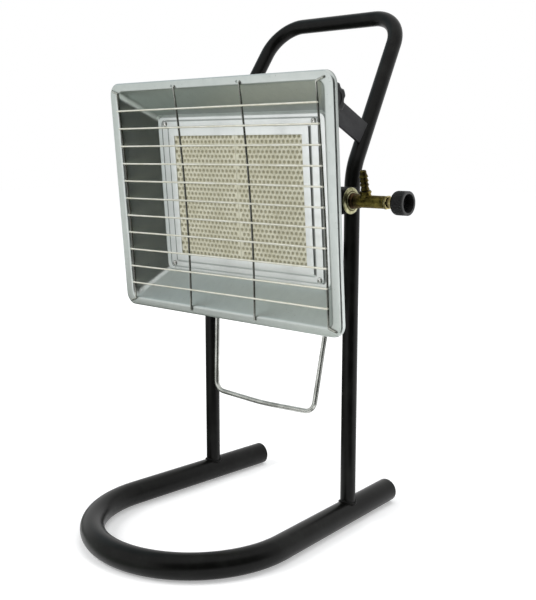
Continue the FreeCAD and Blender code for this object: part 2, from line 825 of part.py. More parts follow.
def make_guard():
    """Upright wires hooked into the flange, with the cross wires welded on their front."""
    upright, cross = value("guard_upright_wire / 2"), value("guard_wire / 2")
    front = -value("reflector_depth") - upright
    tail = front + value("guard_hook_depth")
    hook, turn = value(GUARD_HOLE), value("guard_corner_bend")
    bars = []
    for side in (1, -1):
        across, up = (value(text) for text in GUARD_MIDDLE_HOOK)
        ends = [Vector(side * across, tail, up), Vector(side * across, front, up)]
        ends += [Vector(side * across, front, -up), Vector(side * across, tail, -up)]
        bars.append(rod(rounded_path(ends, [hook, hook]), upright))
        across, up = (value(text) for text in GUARD_CORNER_HOOK)
        span, start = value("guard_half_span"), value("guard_corner_start")
        half = [Vector(side * across, tail, up), Vector(side * across, front, up),
                Vector(side * span, front, start)]
        other = [Vector(spot.x, spot.y, -spot.z) for spot in reversed(half)]
        bars.append(rod(rounded_path(half + other, [hook, turn, turn, hook]), upright))
    uprights = solid("guard_upright_wires", Part.makeCompound(bars))
    count, pitch = int(value("guard_cross_count")), value("guard_pitch")
    reach = value("guard_half_span + guard_upright_wire / 2")
    rows = []
    for index in range(count):
        height = pitch * (index - (count - 1) / 2)
        start = Vector(-reach, front - upright - cross, height)
        rows.append(Part.makeCylinder(cross, 2 * reach, start, Vector(1, 0, 0)))
    crosses = solid("guard_cross_wires", Part.makeCompound(rows))
    return seat(uprights, "face_frame"), seat(crosses, "face_frame")


guard_upright_wires, guard_cross_wires = make_guard()


# The gas line

def make_mixing_tube():
    """Venturi tube inside the box, with its mouth outside the box wall."""
    inner = "mixer_diameter / 2 - mixer_wall"
    outer = "mixer_diameter / 2"
    flange = "(bracket_height / 2 - bracket_gauge - mixer_flange_gap)"
    far, lip = f"({BOX_X} - mixer_length)", f"({BOX_X} + mixer_flange_thickness)"
    made = turned("mixing_tube", [
        (far, inner), (far, outer), (BOX_X, outer), (BOX_X, flange), (lip, flange), (lip, outer),
        (f"{lip} - mixer_mouth_depth", inner)])
    return seat(made, "gas_frame")


def make_injector_bracket():
    """Hat-shaped strip that carries the valve clear of the mixing tube's mouth."""
    made = new_body("injector_bracket")
    half = "(bracket_height / 2)"
    inside = f"({half} - bracket_gauge)"
    toe = f"({half} + bracket_foot)"
    foot = f"({BOX_X} + bracket_gauge)"
    back = f"({PLATE_X} - bracket_gauge)"
    hat = sketch_on(made, "XZ_Plane", "-bracket_depth / 2")
    polygon(hat, [(BOX_X, toe), (BOX_X, inside), (back, inside), (back, f"-{inside}"), (BOX_X, f"-{inside}"),
                  (BOX_X, f"-{toe}"), (foot, f"-{toe}"), (foot, f"-{half}"), (PLATE_X, f"-{half}"),
                  (PLATE_X, half), (foot, half), (foot, toe)])
    pad(made, hat, "bracket_depth")
    hole = sketch_on(made, "YZ_Plane", PLATE_X)
    circle(hole, "0", "0", "valve_thread_diameter / 2 + valve_thread_clearance")
    pocket(made, hole, "bracket_gauge")
    rivet = sketch_on(made, "YZ_Plane", foot)
    for drop in ("-", ""):
        circle(rivet, "0", f"{drop}{BRACKET_RIVET}", "rivet_diameter / 2")
    pocket(made, rivet, "bracket_gauge")
    outer_x = value(PLATE_X)
    round_edges(made, "bracket_bend", lambda edge: abs(edge.CenterOfMass.x - outer_x) < 0.01
                and len(edge.Vertexes) == 2 and abs(edge.tangentAt(edge.FirstParameter).y) > 0.99)
    return seat(made, "gas_frame")


def make_rivets(name, grip, spots):
    """Rivets through a strip and the box wall, heads outwards on both sides."""
    tail, head = f"-box_wall - {grip}", "rivet_head_diameter / 2"
    stem = turned(f"{name}_pattern", [
        (tail, "0"), ("rivet_head_height", "0"), ("rivet_head_height", f"{head} / 2"),
        ("rivet_head_height / 2", head), ("0", head), ("0", "rivet_diameter / 2"),
        (tail, "rivet_diameter / 2")])
    doc.recompute()
    copies = []
    for across, back, up in spots:
        copy = stem.Shape.copy()
        turn = FreeCAD.Rotation(Vector(1, 0, 0), Vector(math.copysign(1, across), 0, 0))
        copy.Placement = FreeCAD.Placement(Vector(across, back, up), turn)
        copies.append(copy)
    return seat(solid(name, Part.makeCompound(copies)), "face_frame")


def make_valve_washer():
    """Plated dished washer between the bracket plate and the valve."""
    bore = "valve_thread_diameter / 2 + valve_thread_clearance"
    edge = "valve_washer_diameter / 2"
    middle = "(valve_washer_diameter / 4 + valve_thread_diameter / 4)"
    rise = "valve_washer_dish"
    made = turned("valve_washer", [
        (f"{PLATE_X} + {rise}", bore), (f"{PLATE_X} + {rise}", middle), (PLATE_X, edge),
        (f"{PLATE_X} + valve_washer_thickness", edge), (WASHER_END, middle), (WASHER_END, bore)])
    return seat(made, "gas_frame")


def make_valve_collar():
    """Round lock collar against the washer."""
    bore = "valve_thread_diameter / 2 + valve_thread_clearance"
    edge = "valve_collar_diameter / 2"
    made = turned("valve_collar", [
        (WASHER_END, bore), (WASHER_END, f"{edge} - valve_collar_bevel"),
        (f"{WASHER_END} + valve_collar_bevel", edge), (f"{COLLAR_END} - valve_collar_bevel", edge),
        (COLLAR_END, f"{edge} - valve_collar_bevel"), (COLLAR_END, bore)])
    return seat(made, "gas_frame")


NOZZLE_END = f"({PLATE_X} - bracket_gauge)"
THREAD_END = f"({NOZZLE_END} - nozzle_grip)"
SPINDLE_TIP = f"({BODY_END} - spindle_depth)"


def make_valve_body():
    """Brass valve body with a boss for the hose barb and a bore for the spindle."""
    thread = "valve_thread_diameter / 2"
    body_radius = "valve_body_diameter / 2"
    bore = "spindle_diameter / 2 + spindle_clearance"
    seat_end = f"({SPINDLE_TIP} - spindle_diameter / 2)"
    made = turned("valve_body", [
        (THREAD_END, "gas_bore / 2"), (THREAD_END, thread), (COLLAR_END, thread), (COLLAR_END, body_radius),
        (BODY_END, body_radius), (BODY_END, bore), (SPINDLE_TIP, bore), (seat_end, "gas_bore / 2")])
    doc.recompute()
    boss = made.newObject("PartDesign::AdditiveCylinder", "barb_boss")
    boss.setExpression("Radius", "sizes.barb_boss_diameter / 2")
    boss.setExpression("Height", "sizes.barb_boss_height")
    bore_tool = made.newObject("PartDesign::SubtractiveCylinder", "barb_boss_bore")
    bore_tool.setExpression("Radius", "sizes.barb_thread_diameter / 2")
    bore_tool.setExpression("Height", "sizes.barb_boss_height")
    gas = made.newObject("PartDesign::SubtractiveCylinder", "valve_gas_bore")
    gas.setExpression("Radius", "sizes.gas_bore / 2")
    gas.setExpression("Height", "sizes.barb_boss_height")
    for tool in (boss, bore_tool, gas):
        low = {"barb_boss": "0", "barb_boss_bore": "barb_seat", "valve_gas_bore": "0"}[tool.Name]
        lean_back, lean_up = f"(-sin(barb_lean) * {low})", f"(cos(barb_lean) * {low})"
        tool.setExpression("Placement", bound(shifted(f"{COLLAR_END} + barb_offset", lean_back, lean_up,
                                                      "barb_lean")))
    return seat(made, "gas_frame")


def make_hose_barb():
    """Ridged hose tail screwed into the valve's boss."""
    collar_top = "(barb_boss_height + barb_collar_height)"
    collar = hexagon_radius("barb_collar_across")
    corners = [("barb_seat", "barb_bore / 2"), ("barb_seat", "barb_thread_diameter / 2"),
               ("barb_boss_height", "barb_thread_diameter / 2"), ("barb_boss_height", collar),
               (collar_top, collar), (collar_top, "barb_root_diameter / 2")]
    ridges = int(value("barb_ridges"))
    for ridge in range(ridges):
        foot = f"({collar_top} + barb_neck + {ridge} * barb_ridge_length)"
        corners += [(foot, "barb_root_diameter / 2"), (foot, "barb_crest_diameter / 2"),
                    (f"{foot} + barb_crest_land", "barb_crest_diameter / 2"),
                    (f"{foot} + barb_ridge_length - barb_valley", "barb_root_diameter / 2")]
    tip = f"({collar_top} + barb_neck + {ridges} * barb_ridge_length + barb_tip_length)"
    corners += [(tip, "barb_root_diameter / 2 - barb_tip_taper"), (tip, "barb_bore / 2")]
    made = turned("hose_barb", corners)
    hexagon_cut(made, "barb_collar_across", "barb_boss_height", "barb_collar_height")
    return seat(made, "barb_frame", "placement(vector(0; 0; 0); rotation(vector(0; 1; 0); -90))")


def make_packing_nut():
    """Hexagon nut that holds the spindle's packing."""
    bore, nose = "spindle_diameter / 2 + spindle_clearance", "packing_nose_diameter / 2"
    hexagon_end = f"({BODY_END} + packing_nut_length)"
    full = hexagon_radius("packing_nut_across")
    made = turned("packing_nut", [
        (BODY_END, bore), (BODY_END, full), (f"{hexagon_end} - packing_nut_bevel", full),
        (hexagon_end, f"{full} - packing_nut_bevel"), (hexagon_end, nose), (NUT_END, nose), (NUT_END, bore)])
    hexagon_cut(made, "packing_nut_across", BODY_END, "packing_nut_length")
    return seat(made, "gas_frame")


def make_nozzle():
    """Brass injector screwed on the valve's thread, aimed into the mixing tube."""
    thread = "valve_thread_diameter / 2"
    back = f"({NOZZLE_END} - nozzle_hex_length)"
    tip = f"({back} - nozzle_cone_length)"
    full = hexagon_radius("nozzle_hex_across")
    made = turned("injector_nozzle", [
        (NOZZLE_END, thread), (NOZZLE_END, full), (back, full),
        (back, "nozzle_shoulder_diameter / 2"), (tip, "nozzle_tip_diameter / 2"), (tip, "nozzle_bore / 2"),
        (f"{back} - nozzle_throat", "nozzle_bore / 2"), (back, "gas_bore / 2"), (THREAD_END, "gas_bore / 2"),
        (THREAD_END, thread)])
    hexagon_cut(made, "nozzle_hex_across", back, "nozzle_hex_length")
    return seat(made, "gas_frame")


def make_spindle():
    """Needle spindle of the valve."""
    radius = "spindle_diameter / 2"
    tip = f"({SPINDLE_TIP} + needle_gap)"
    made = turned("valve_spindle", [
        (tip, "needle_tip_radius"), (f"{tip} + {radius}", radius), (f"{KNOB_BACK} + knob_seat", radius),
        (f"{KNOB_BACK} + knob_seat", "0"), (tip, "0")])
    return seat(made, "gas_frame")


def make_valve_knob():
    """Moulded knob with a rounded back and a cup-shaped outer end."""
    front = f"({KNOB_BACK} + knob_length)"
    made = turned("valve_knob", [
        (KNOB_BACK, "spindle_diameter / 2"), (KNOB_BACK, "knob_diameter / 2"), (front, "knob_diameter / 2"),
        (front, "knob_diameter / 2 - knob_wall"), (f"{front} - knob_cup", "knob_diameter / 2 - knob_wall"),
        (f"{front} - knob_cup", "0"), (f"{KNOB_BACK} + knob_seat", "0"),
        (f"{KNOB_BACK} + knob_seat", "spindle_diameter / 2")])
    back_x, full = value(KNOB_BACK), value("knob_diameter / 2")
    round_edges(made, "knob_edge", lambda edge: abs(edge.BoundBox.XMin - back_x) < 0.01
                and abs(edge.BoundBox.XLength) < 0.01 and abs(edge.BoundBox.ZMax - full) < 0.01)
    return seat(made, "gas_frame")


mixing_tube = make_mixing_tube()
injector_bracket = make_injector_bracket()
bracket_face = value(f"{BOX_X} + bracket_gauge")
bracket_rivets = make_rivets("bracket_rivets", "bracket_gauge", [
    (bracket_face, value("valve_back"), side * value(BRACKET_RIVET) - value("valve_drop"))
    for side in (1, -1)])
valve_washer = make_valve_washer()
valve_collar = make_valve_collar()
valve_body = make_valve_body()
hose_barb = make_hose_barb()
packing_nut = make_packing_nut()
injector_nozzle = make_nozzle()
valve_spindle = make_spindle()
valve_knob = make_valve_knob()


# The tilt clamp

def make_ear(name, side):
    """Plate on the side of the burner box that reaches up to the pivot."""
    made = new_body(name)
    level = BOX_X if side > 0 else f"-({BOX_X} + ear_gauge)"
    eye_back, eye_up, eye = "face_forward", "face_drop", "(ear_eye_diameter / 2)"
    plate = sketch_on(made, "YZ_Plane", level)
    polygon(plate, [("ear_foot_back", "ear_foot_low"), ("ear_foot_back + ear_foot_width", "ear_foot_low"),
                    ("ear_foot_back + ear_foot_width", BOX_Z), (f"{eye_back} + {eye}", eye_up),
                    (f"{eye_back} - {eye}", eye_up)])
    pad(made, plate, "ear_gauge")
    disc = sketch_on(made, "YZ_Plane", level)
    circle(disc, eye_back, eye_up, eye)
    pad(made, disc, "ear_gauge")
    holes = sketch_on(made, "YZ_Plane", level)
    circle(holes, eye_back, eye_up, "clamp_bolt_diameter / 2 + pivot_clearance")
    for up in ("ear_rivet_low", "ear_rivet_high"):
        circle(holes, EAR_RIVET_BACK, up, "rivet_diameter / 2")
    pocket(made, holes, "ear_gauge", ahead=True)
    return seat(made, "face_frame")


def side_turn(side):
    """Local placement on the pivot that points a clamp piece to its own side."""
    return shifted("0", "0", "0", "0" if side > 0 else "180", "0; 0; 1")


def make_clamp_bolt(name, side):
    """Round-head bolt through ear, spacer and strap: the pin that the head tilts on."""
    shank = "clamp_bolt_diameter / 2"
    head = "clamp_bolt_head_diameter / 2"
    made = turned(name, [
        (f"{BOX_X} - clamp_bolt_head_height", "0"), (f"{BOX_X} - clamp_bolt_head_height", f"{head} / 2"),
        (f"{BOX_X} - clamp_bolt_head_height / 2", head), (BOX_X, head), (BOX_X, shank), (CLAMP_TIP, shank),
        (CLAMP_TIP, "0")])
    return seat(made, "pivot_frame", side_turn(side))


def make_clamp_spacer(name, side):
    """Bush between the ear and the strap."""
    start = f"({BOX_X} + ear_gauge)"
    end = f"({STRAP_INNER} - slip_gap)"
    bore = "clamp_bolt_diameter / 2 + pivot_clearance"
    edge = "spacer_diameter / 2"
    made = turned(name, [(start, bore), (start, edge), (end, edge), (end, bore)])
    return seat(made, "pivot_frame", side_turn(side))


def make_clamp_washer(name, side):
    """Washer between the strap and the knob."""
    start = f"({STRAP_OUTER} + slip_gap)"
    end = f"({start} + clamp_washer_thickness)"
    bore = "clamp_bolt_diameter / 2 + pivot_clearance"
    edge = "clamp_washer_diameter / 2"
    made = turned(name, [(start, bore), (start, edge), (end, edge), (end, bore)])
    return seat(made, "pivot_frame", side_turn(side))


def make_clamp_knob(name, side):
    """Lobed hand knob on the end of the clamp bolt."""
    made = new_body(name)
    grip = f"({KNOB_SEAT} + clamp_hub_height)"
    hub = sketch_on(made, "YZ_Plane", KNOB_SEAT)
    circle(hub, "0", "0", "clamp_hub_diameter / 2")
    pad(made, hub, "clamp_hub_height")
    disc = sketch_on(made, "YZ_Plane", grip)
    circle(disc, "0", "0", "clamp_knob_diameter / 2")
    pad(made, disc, "clamp_knob_height")
    outer = value(f"{grip} + clamp_knob_height")
    round_edges(made, "clamp_knob_edge", lambda edge: edge.BoundBox.YLength > value("clamp_knob_diameter") - 1
                and edge.BoundBox.XLength < 0.01 and abs(edge.BoundBox.XMin - outer) < 0.01)
    scallop = sketch_on(made, "YZ_Plane", grip)
    circle(scallop, "0", "clamp_knob_diameter / 2 + clamp_scallop_radius - clamp_scallop_inset",
           "clamp_scallop_radius")
    cut = pocket(made, scallop, "clamp_knob_height", ahead=True)
    lobes = made.newObject("PartDesign::PolarPattern", f"{name}_lobes")
    lobes.Originals = [cut]
    lobes.Axis = (scallop, ["N_Axis"])
    lobes.Angle = 360
    lobes.setExpression("Occurrences", "sizes.clamp_lobes")
    made.Tip = lobes
    bore = sketch_on(made, "YZ_Plane", KNOB_SEAT)
    circle(bore, "0", "0", "clamp_bolt_diameter / 2 + pivot_clearance")
    pocket(made, bore, f"{CLAMP_TIP} - {KNOB_SEAT} + pivot_clearance", ahead=True)
    return seat(made, "pivot_frame", f"{side_turn(side)} * {shifted('0', '0', '0', 'clamp_knob_turn')}")


ear_left, ear_right = make_ear("ear_left", -1), make_ear("ear_right", 1)
ear_face = value(f"{BOX_X} + ear_gauge")
ear_rivets = make_rivets("ear_rivets", "ear_gauge", [
    (side * ear_face, value(EAR_RIVET_BACK), value(up))
    for side in (1, -1) for up in ("ear_rivet_low", "ear_rivet_high")])
clamp_pieces = []
for hand, side in (("left", -1), ("right", 1)):
    clamp_pieces.append(make_clamp_bolt(f"clamp_bolt_{hand}", side))
    clamp_pieces.append(make_clamp_spacer(f"clamp_spacer_{hand}", side))
    clamp_pieces.append(make_clamp_washer(f"clamp_washer_{hand}", side))
    clamp_pieces.append(make_clamp_knob(f"clamp_knob_{hand}", side))


# The wire bail

def make_bail():
    """Wire loop that hangs from two lugs behind the burner box."""
    wire = value("bail_wire / 2")
    top, low = value("bail_top_spread / 2"), value("bail_bottom_spread / 2")
    drop, bow = value("bail_length"), value("bail_bow")
    right = [Vector(top - value("bail_pin"), 0, 0), Vector(top, 0, 0), Vector(low, 0, -drop)]
    left = [Vector(-spot.x, spot.y, spot.z) for spot in reversed(right)]
    eye, corner = value("bail_eye_radius"), value("bail_corner_radius")
    radii = [eye, corner, value("bail_bow_radius"), corner, eye]
    path = rounded_path(right + [Vector(0, 0, -drop - bow)] + left, radii)
    return seat(solid("bail", rod(path, wire)), "bail_frame")


def make_bail_lug(name, side):
    """Angle on the back of the burner box with an eye for the bail's end."""
    made = new_body(name)
    outer = "(bail_top_spread / 2 - bail_wire / 2 - lug_gap)"
    inner = f"({outer} - lug_gauge)"
    level = inner if side > 0 else f"-{outer}"
    half, low = "(lug_width / 2)", "-bail_pivot_drop"
    wing = sketch_on(made, "YZ_Plane", level)
    polygon(wing, [("box_depth", f"{low} - {half}"), ("bail_pivot_back", f"{low} - {half}"),
                   ("bail_pivot_back", f"{low} + {half}"), ("box_depth", f"{low} + {half}")])
    pad(made, wing, "lug_gauge")
    eye = sketch_on(made, "YZ_Plane", level)
    circle(eye, "bail_pivot_back", low, half)
    pad(made, eye, "lug_gauge")
    foot = sketch_on(made, "XZ_Plane", "-box_depth - lug_gauge")
    mirror = "" if side > 0 else "-"
    toe, heel = f"{mirror}({inner} - lug_foot)", f"{mirror}{outer}"
    polygon(foot, [(toe, f"{low} - {half}"), (heel, f"{low} - {half}"),
                   (heel, f"{low} + {half}"), (toe, f"{low} + {half}")])
    pad(made, foot, "lug_gauge")
    hole = sketch_on(made, "YZ_Plane", level)
    circle(hole, "bail_pivot_back", low, "bail_wire / 2 + bail_clearance")
    pocket(made, hole, "lug_gauge", ahead=True)
    return seat(made, "face_frame")


bail = make_bail()
bail_lug_left, bail_lug_right = make_bail_lug("bail_lug_left", -1), make_bail_lug("bail_lug_right", 1)

nodes = [base_tube, base_end_plugs, upright_hoop, post_welds, strap_left, strap_right,
         reflector, tile_frame, ceramic_tile_left, ceramic_tile_right, tile_gasket, burner_box, baffle_tray,
         tile_frame_screws, guard_upright_wires, guard_cross_wires, mixing_tube, injector_bracket,
         bracket_rivets, valve_washer, valve_collar, valve_body, hose_barb, packing_nut, injector_nozzle,
         valve_spindle, valve_knob, ear_left, ear_right, ear_rivets, bail, bail_lug_left, bail_lug_right]
nodes += clamp_pieces

doc.recompute()
for thing in doc.Objects:
    if "Invalid" in thing.State or "Error" in thing.State:
        raise RuntimeError(f"{thing.Label} failed: {thing.State}")
for node in nodes:
    if node.Shape.isNull() or not node.Shape.isValid() or not node.Shape.Solids:
        raise RuntimeError(f"{node.Label} has no valid solid")
for node in nodes:
    node.Shape.exportStep(f"parts/{node.Label}.step")
    print(f"{node.Label}: {len(node.Shape.Solids)} solids, {node.Shape.Volume / 1000:.2f} cm3")
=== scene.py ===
import json
import math

import bmesh
import bpy
from mathutils import Matrix, Vector

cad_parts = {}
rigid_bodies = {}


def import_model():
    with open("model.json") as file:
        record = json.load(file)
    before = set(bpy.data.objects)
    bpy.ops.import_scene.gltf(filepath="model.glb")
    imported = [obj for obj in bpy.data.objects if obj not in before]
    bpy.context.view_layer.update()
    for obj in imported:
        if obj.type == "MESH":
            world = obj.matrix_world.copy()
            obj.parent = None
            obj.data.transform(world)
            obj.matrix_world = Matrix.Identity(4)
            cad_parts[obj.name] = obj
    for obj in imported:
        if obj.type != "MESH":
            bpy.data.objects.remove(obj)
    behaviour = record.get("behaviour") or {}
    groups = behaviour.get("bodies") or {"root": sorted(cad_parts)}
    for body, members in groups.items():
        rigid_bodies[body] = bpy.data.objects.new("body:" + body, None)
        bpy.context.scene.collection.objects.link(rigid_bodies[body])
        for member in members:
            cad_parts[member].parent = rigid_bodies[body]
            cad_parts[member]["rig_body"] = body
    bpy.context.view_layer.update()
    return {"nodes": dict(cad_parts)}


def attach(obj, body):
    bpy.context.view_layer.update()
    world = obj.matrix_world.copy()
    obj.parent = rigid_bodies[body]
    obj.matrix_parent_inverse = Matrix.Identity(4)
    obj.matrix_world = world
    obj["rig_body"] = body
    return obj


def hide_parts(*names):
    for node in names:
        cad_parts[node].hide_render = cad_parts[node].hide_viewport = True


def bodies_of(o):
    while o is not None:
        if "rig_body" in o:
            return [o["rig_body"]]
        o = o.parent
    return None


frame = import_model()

NODES = frame["nodes"]
SCENE = bpy.context.scene
MM = 0.001

# Frames of the heater: their places are in metres or in the face's mm, and sizes within them are in mm
TO_METRES = Matrix.Scale(MM, 4)
IN_PLACE = Matrix.Identity(4)
FACE_PLACE, PIVOT_PLACE = (0, -0.062291, 0.353395), (0, -0.050, 0.454)
HEAD_TILT = math.radians(4.3)
VALVE_PLACE = (0, 29, -1.3)
BAIL_PLACE, BAIL_SWING = (0, 55.4, -57.7), math.radians(-11)
FACE = Matrix.Translation(FACE_PLACE) @ Matrix.Rotation(HEAD_TILT, 4, "X") @ TO_METRES
PIVOT = Matrix.Translation(PIVOT_PLACE) @ Matrix.Rotation(HEAD_TILT, 4, "X") @ TO_METRES
VALVE = FACE @ Matrix.Translation(VALVE_PLACE)
BAIL = FACE @ Matrix.Translation(BAIL_PLACE) @ Matrix.Rotation(BAIL_SWING, 4, "X")


# Node graphs, for finishes and for geometry

class Link:
    """One output of a node; arithmetic on it adds Math nodes to its graph."""

    def __init__(self, graph, made, output=0):
        self.graph = graph
        self.made = made
        self.socket = made.outputs[output] if len(made.outputs) else None

    def out(self, output):
        return Link(self.graph, self.made, output)

    def math(self, operation, first, second=0.0):
        return self.graph.node("ShaderNodeMath", {"operation": operation}, {0: first, 1: second})

    def __add__(self, other):
        return self.math("ADD", self, other)

    def __radd__(self, other):
        return self.math("ADD", other, self)

    def __sub__(self, other):
        return self.math("SUBTRACT", self, other)

    def __rsub__(self, other):
        return self.math("SUBTRACT", other, self)

    def __mul__(self, other):
        return self.math("MULTIPLY", self, other)

    def __rmul__(self, other):
        return self.math("MULTIPLY", other, self)

    def __truediv__(self, other):
        return self.math("DIVIDE", self, other)

    def __rtruediv__(self, other):
        return self.math("DIVIDE", other, self)

    def __mod__(self, other):
        return self.math("MODULO", self, other)

    def sharper(self, low, high):
        """0 below low, 1 above high, smooth between."""
        return self.graph.node("ShaderNodeMapRange", {"interpolation_type": "SMOOTHSTEP"},
                               {"Value": self, "From Min": low, "From Max": high})


class Graph:
    """A node tree that is filled by one method."""

    def __init__(self, tree):
        self.tree = tree

    def node(self, kind, settings=None, sockets=None, output=0):
        made = self.tree.nodes.new(kind)
        for key, setting in (settings or {}).items():
            setattr(made, key, setting)
        for key, given in (sockets or {}).items():
            self.feed(made.inputs[key], given)
        return Link(self, made, output)

    def feed(self, socket, given):
        if isinstance(given, Link):
            self.tree.links.new(given.socket, socket)
        else:
            socket.default_value = given


class Finish(Graph):
    """A procedural material on one Principled shader; constants go straight to its sockets."""

    def __init__(self, name, **constants):
        self.material = bpy.data.materials.new(name)
        self.material.use_nodes = True
        super().__init__(self.material.node_tree)
        self.tree.nodes.clear()
        self.shader = self.tree.nodes.new("ShaderNodeBsdfPrincipled")
        end = self.tree.nodes.new("ShaderNodeOutputMaterial")
        self.tree.links.new(self.shader.outputs[0], end.inputs["Surface"])
        self.place = self.node("ShaderNodeTexCoord").out("Object")
        self.paint(**constants)

    def paint(self, **sockets):
        for key, given in sockets.items():
            self.feed(self.shader.inputs[key.replace("_", " ")], given)

    def noise(self, per_metre, detail=3.0, roughness=0.55, stretch=None):
        place = self.place
        if stretch:
            place = self.node("ShaderNodeMapping", None, {"Vector": place, "Scale": stretch})
        return self.node("ShaderNodeTexNoise", None,
                         {"Vector": place, "Scale": per_metre, "Detail": detail, "Roughness": roughness})

    def attribute(self, name):
        return self.node("ShaderNodeAttribute", {"attribute_name": name}).out("Fac")

    def cell_tones(self, per_metre):
        """A grey of its own for each crystal."""
        cells = self.node("ShaderNodeTexVoronoi", None, {"Vector": self.place, "Scale": per_metre})
        return self.node("ShaderNodeSeparateColor", None, {"Color": cells.out("Color")})

    def mix(self, share, first, second):
        made = self.node("ShaderNodeMix", {"data_type": "RGBA"})
        self.feed(made.made.inputs["Factor"], share)
        self.feed(made.made.inputs[6], first)
        self.feed(made.made.inputs[7], second)
        return made.out(2)

    def bump(self, height, depth, strength=1.0):
        """Relief of that depth in metres where the height goes from 0 to 1."""
        self.feed(self.shader.inputs["Normal"], self.node(
            "ShaderNodeBump", None, {"Height": height, "Distance": depth, "Strength": strength}))


def colour(red, green, blue):
    """An sRGB colour of 0 to 255 as a linear one."""
    def linear(level):
        level /= 255
        return level / 12.92 if level <= 0.04045 else ((level + 0.055) / 1.055) ** 2.4
    return (linear(red), linear(green), linear(blue), 1.0)


# Finishes

def powder_coat(name, dark, pale, roughness):
    """Black satin coating with a fine orange peel and a little dust."""
    made = Finish(name, Specular_IOR_Level=0.16)
    peel = made.noise(900, 2.0)
    dust = made.noise(38, 5.0, 0.65)
    made.paint(Base_Color=made.mix(dust.sharper(0.42, 0.75), dark, pale),
               Roughness=roughness + 0.12 * dust + 0.06 * peel)
    made.bump(peel, 0.00006, 0.35)
    return made.material


def moulded_plastic(name, dark, pale, roughness):
    """Black moulded plastic with a spark-eroded grain and paler edges that are partly worn and partly a
    painted highlight.
    """
    made = Finish(name, Specular_IOR_Level=0.3)
    grain = made.noise(2600, 2.0)
    wear = made.noise(90, 4.0, 0.6)
    edge = made.attribute("edge_wear")
    base = made.mix(wear.sharper(0.4, 0.8), dark, pale)
    # paler rims: partly wear, partly a painted highlight
    made.paint(Base_Color=made.mix(0.8 * edge, base, colour(96, 96, 96)),
               Roughness=roughness + 0.15 * wear)
    made.bump(grain, 0.00003, 0.4)
    return made.material


def galvanised(name, pale, dull, roughness, spangle=170, specks=0.3):
    """Zinc-coated sheet: faint spangle, rolling streaks, small dull specks, and painted shade in the folds
    and holes; the same tone darkens the reflector's top wall.
    """
    made = Finish(name, Metallic=1.0)
    tone = made.cell_tones(spangle)
    streak = made.noise(75, 4.0, 0.6, (1.6, 1.0, 0.12))
    cloud = made.noise(16, 4.0, 0.6)
    speck = made.noise(420, 2.0, 0.5).sharper(0.7, 0.76)
    base = made.mix(0.16 * tone + 0.5 * streak + 0.4 * cloud - 0.05, pale, dull)
    # painted shade: folds, hook holes and the frame's inner lip are mixed towards dark grey, and the
    # reflector's top wall is darkened with the same tone
    shade_and_darkening = made.attribute("fold_grime")
    marks = made.mix(specks * speck, base, colour(90, 92, 86))
    made.paint(Base_Color=made.mix(0.8 * shade_and_darkening, marks, colour(84, 88, 86)),
               Roughness=roughness + 0.03 * tone + 0.08 * streak)
    made.bump(streak, 0.00001, 0.15)
    return made.material


def drawn_wire(name, bright, dark, roughness, metallic=0.9):
    """Drawn steel with heat tint, fine die marks, and painted shade in its recesses, which also lays a
    painted dark reflection on the upright wires.
    """
    made = Finish(name, Metallic=metallic)
    tint = made.noise(55, 4.0, 0.6)
    marks = made.noise(1400, 2.0)
    metal = made.mix(tint.sharper(0.35, 0.7), bright, dark)
    # painted shade in recesses and a painted dark reflection on the uprights, mixed towards near-black
    made.paint(Base_Color=made.mix(0.9 * made.attribute("fold_grime"), metal, colour(44, 44, 40)),
               Roughness=roughness + 0.18 * tint)
    made.bump(marks, 0.000004, 0.2)
    return made.material


def old_brass(name, bright, tarnish, roughness):
    """Brass that has tarnished in patches and in its grooves."""
    made = Finish(name, Metallic=1.0)
    patch = made.noise(170, 5.0, 0.65)
    fine = made.noise(1500, 2.0)
    metal = made.mix(patch.sharper(0.35, 0.68), bright, tarnish)
    made.paint(Base_Color=made.mix(made.attribute("groove_tarnish"), metal, colour(72, 60, 41)),
               Roughness=roughness + 0.3 * patch)
    made.bump(fine, 0.00002, 0.3)
    return made.material


def burner_plate():
    """Fired ceramic: pale khaki, mottled, and darker down into the pits as painted shade."""
    made = Finish("burner_ceramic", Specular_IOR_Level=0.2)
    mottle = made.noise(48, 4.0, 0.6)
    grain = made.noise(1100, 3.0)
    fired = made.mix(mottle.sharper(0.3, 0.72), colour(226, 224, 204), colour(212, 209, 186))
    # painted shade that darkens the plate down into its pits
    made.paint(Base_Color=made.mix(made.attribute("pit_depth"), fired, colour(174, 170, 146)),
               Roughness=0.82 + 0.12 * grain)
    made.bump(grain, 0.00012, 0.5)
    return made.material


def gasket_fibre():
    """Off-white fibre strip."""
    made = Finish("gasket_fibre", Specular_IOR_Level=0.15, Roughness=0.95)
    strand = made.noise(700, 5.0, 0.7, (1.0, 0.3, 1.0))
    made.paint(Base_Color=made.mix(strand, colour(225, 222, 212), colour(180, 176, 165)))
    made.bump(strand, 0.0003, 0.6)
    return made.material


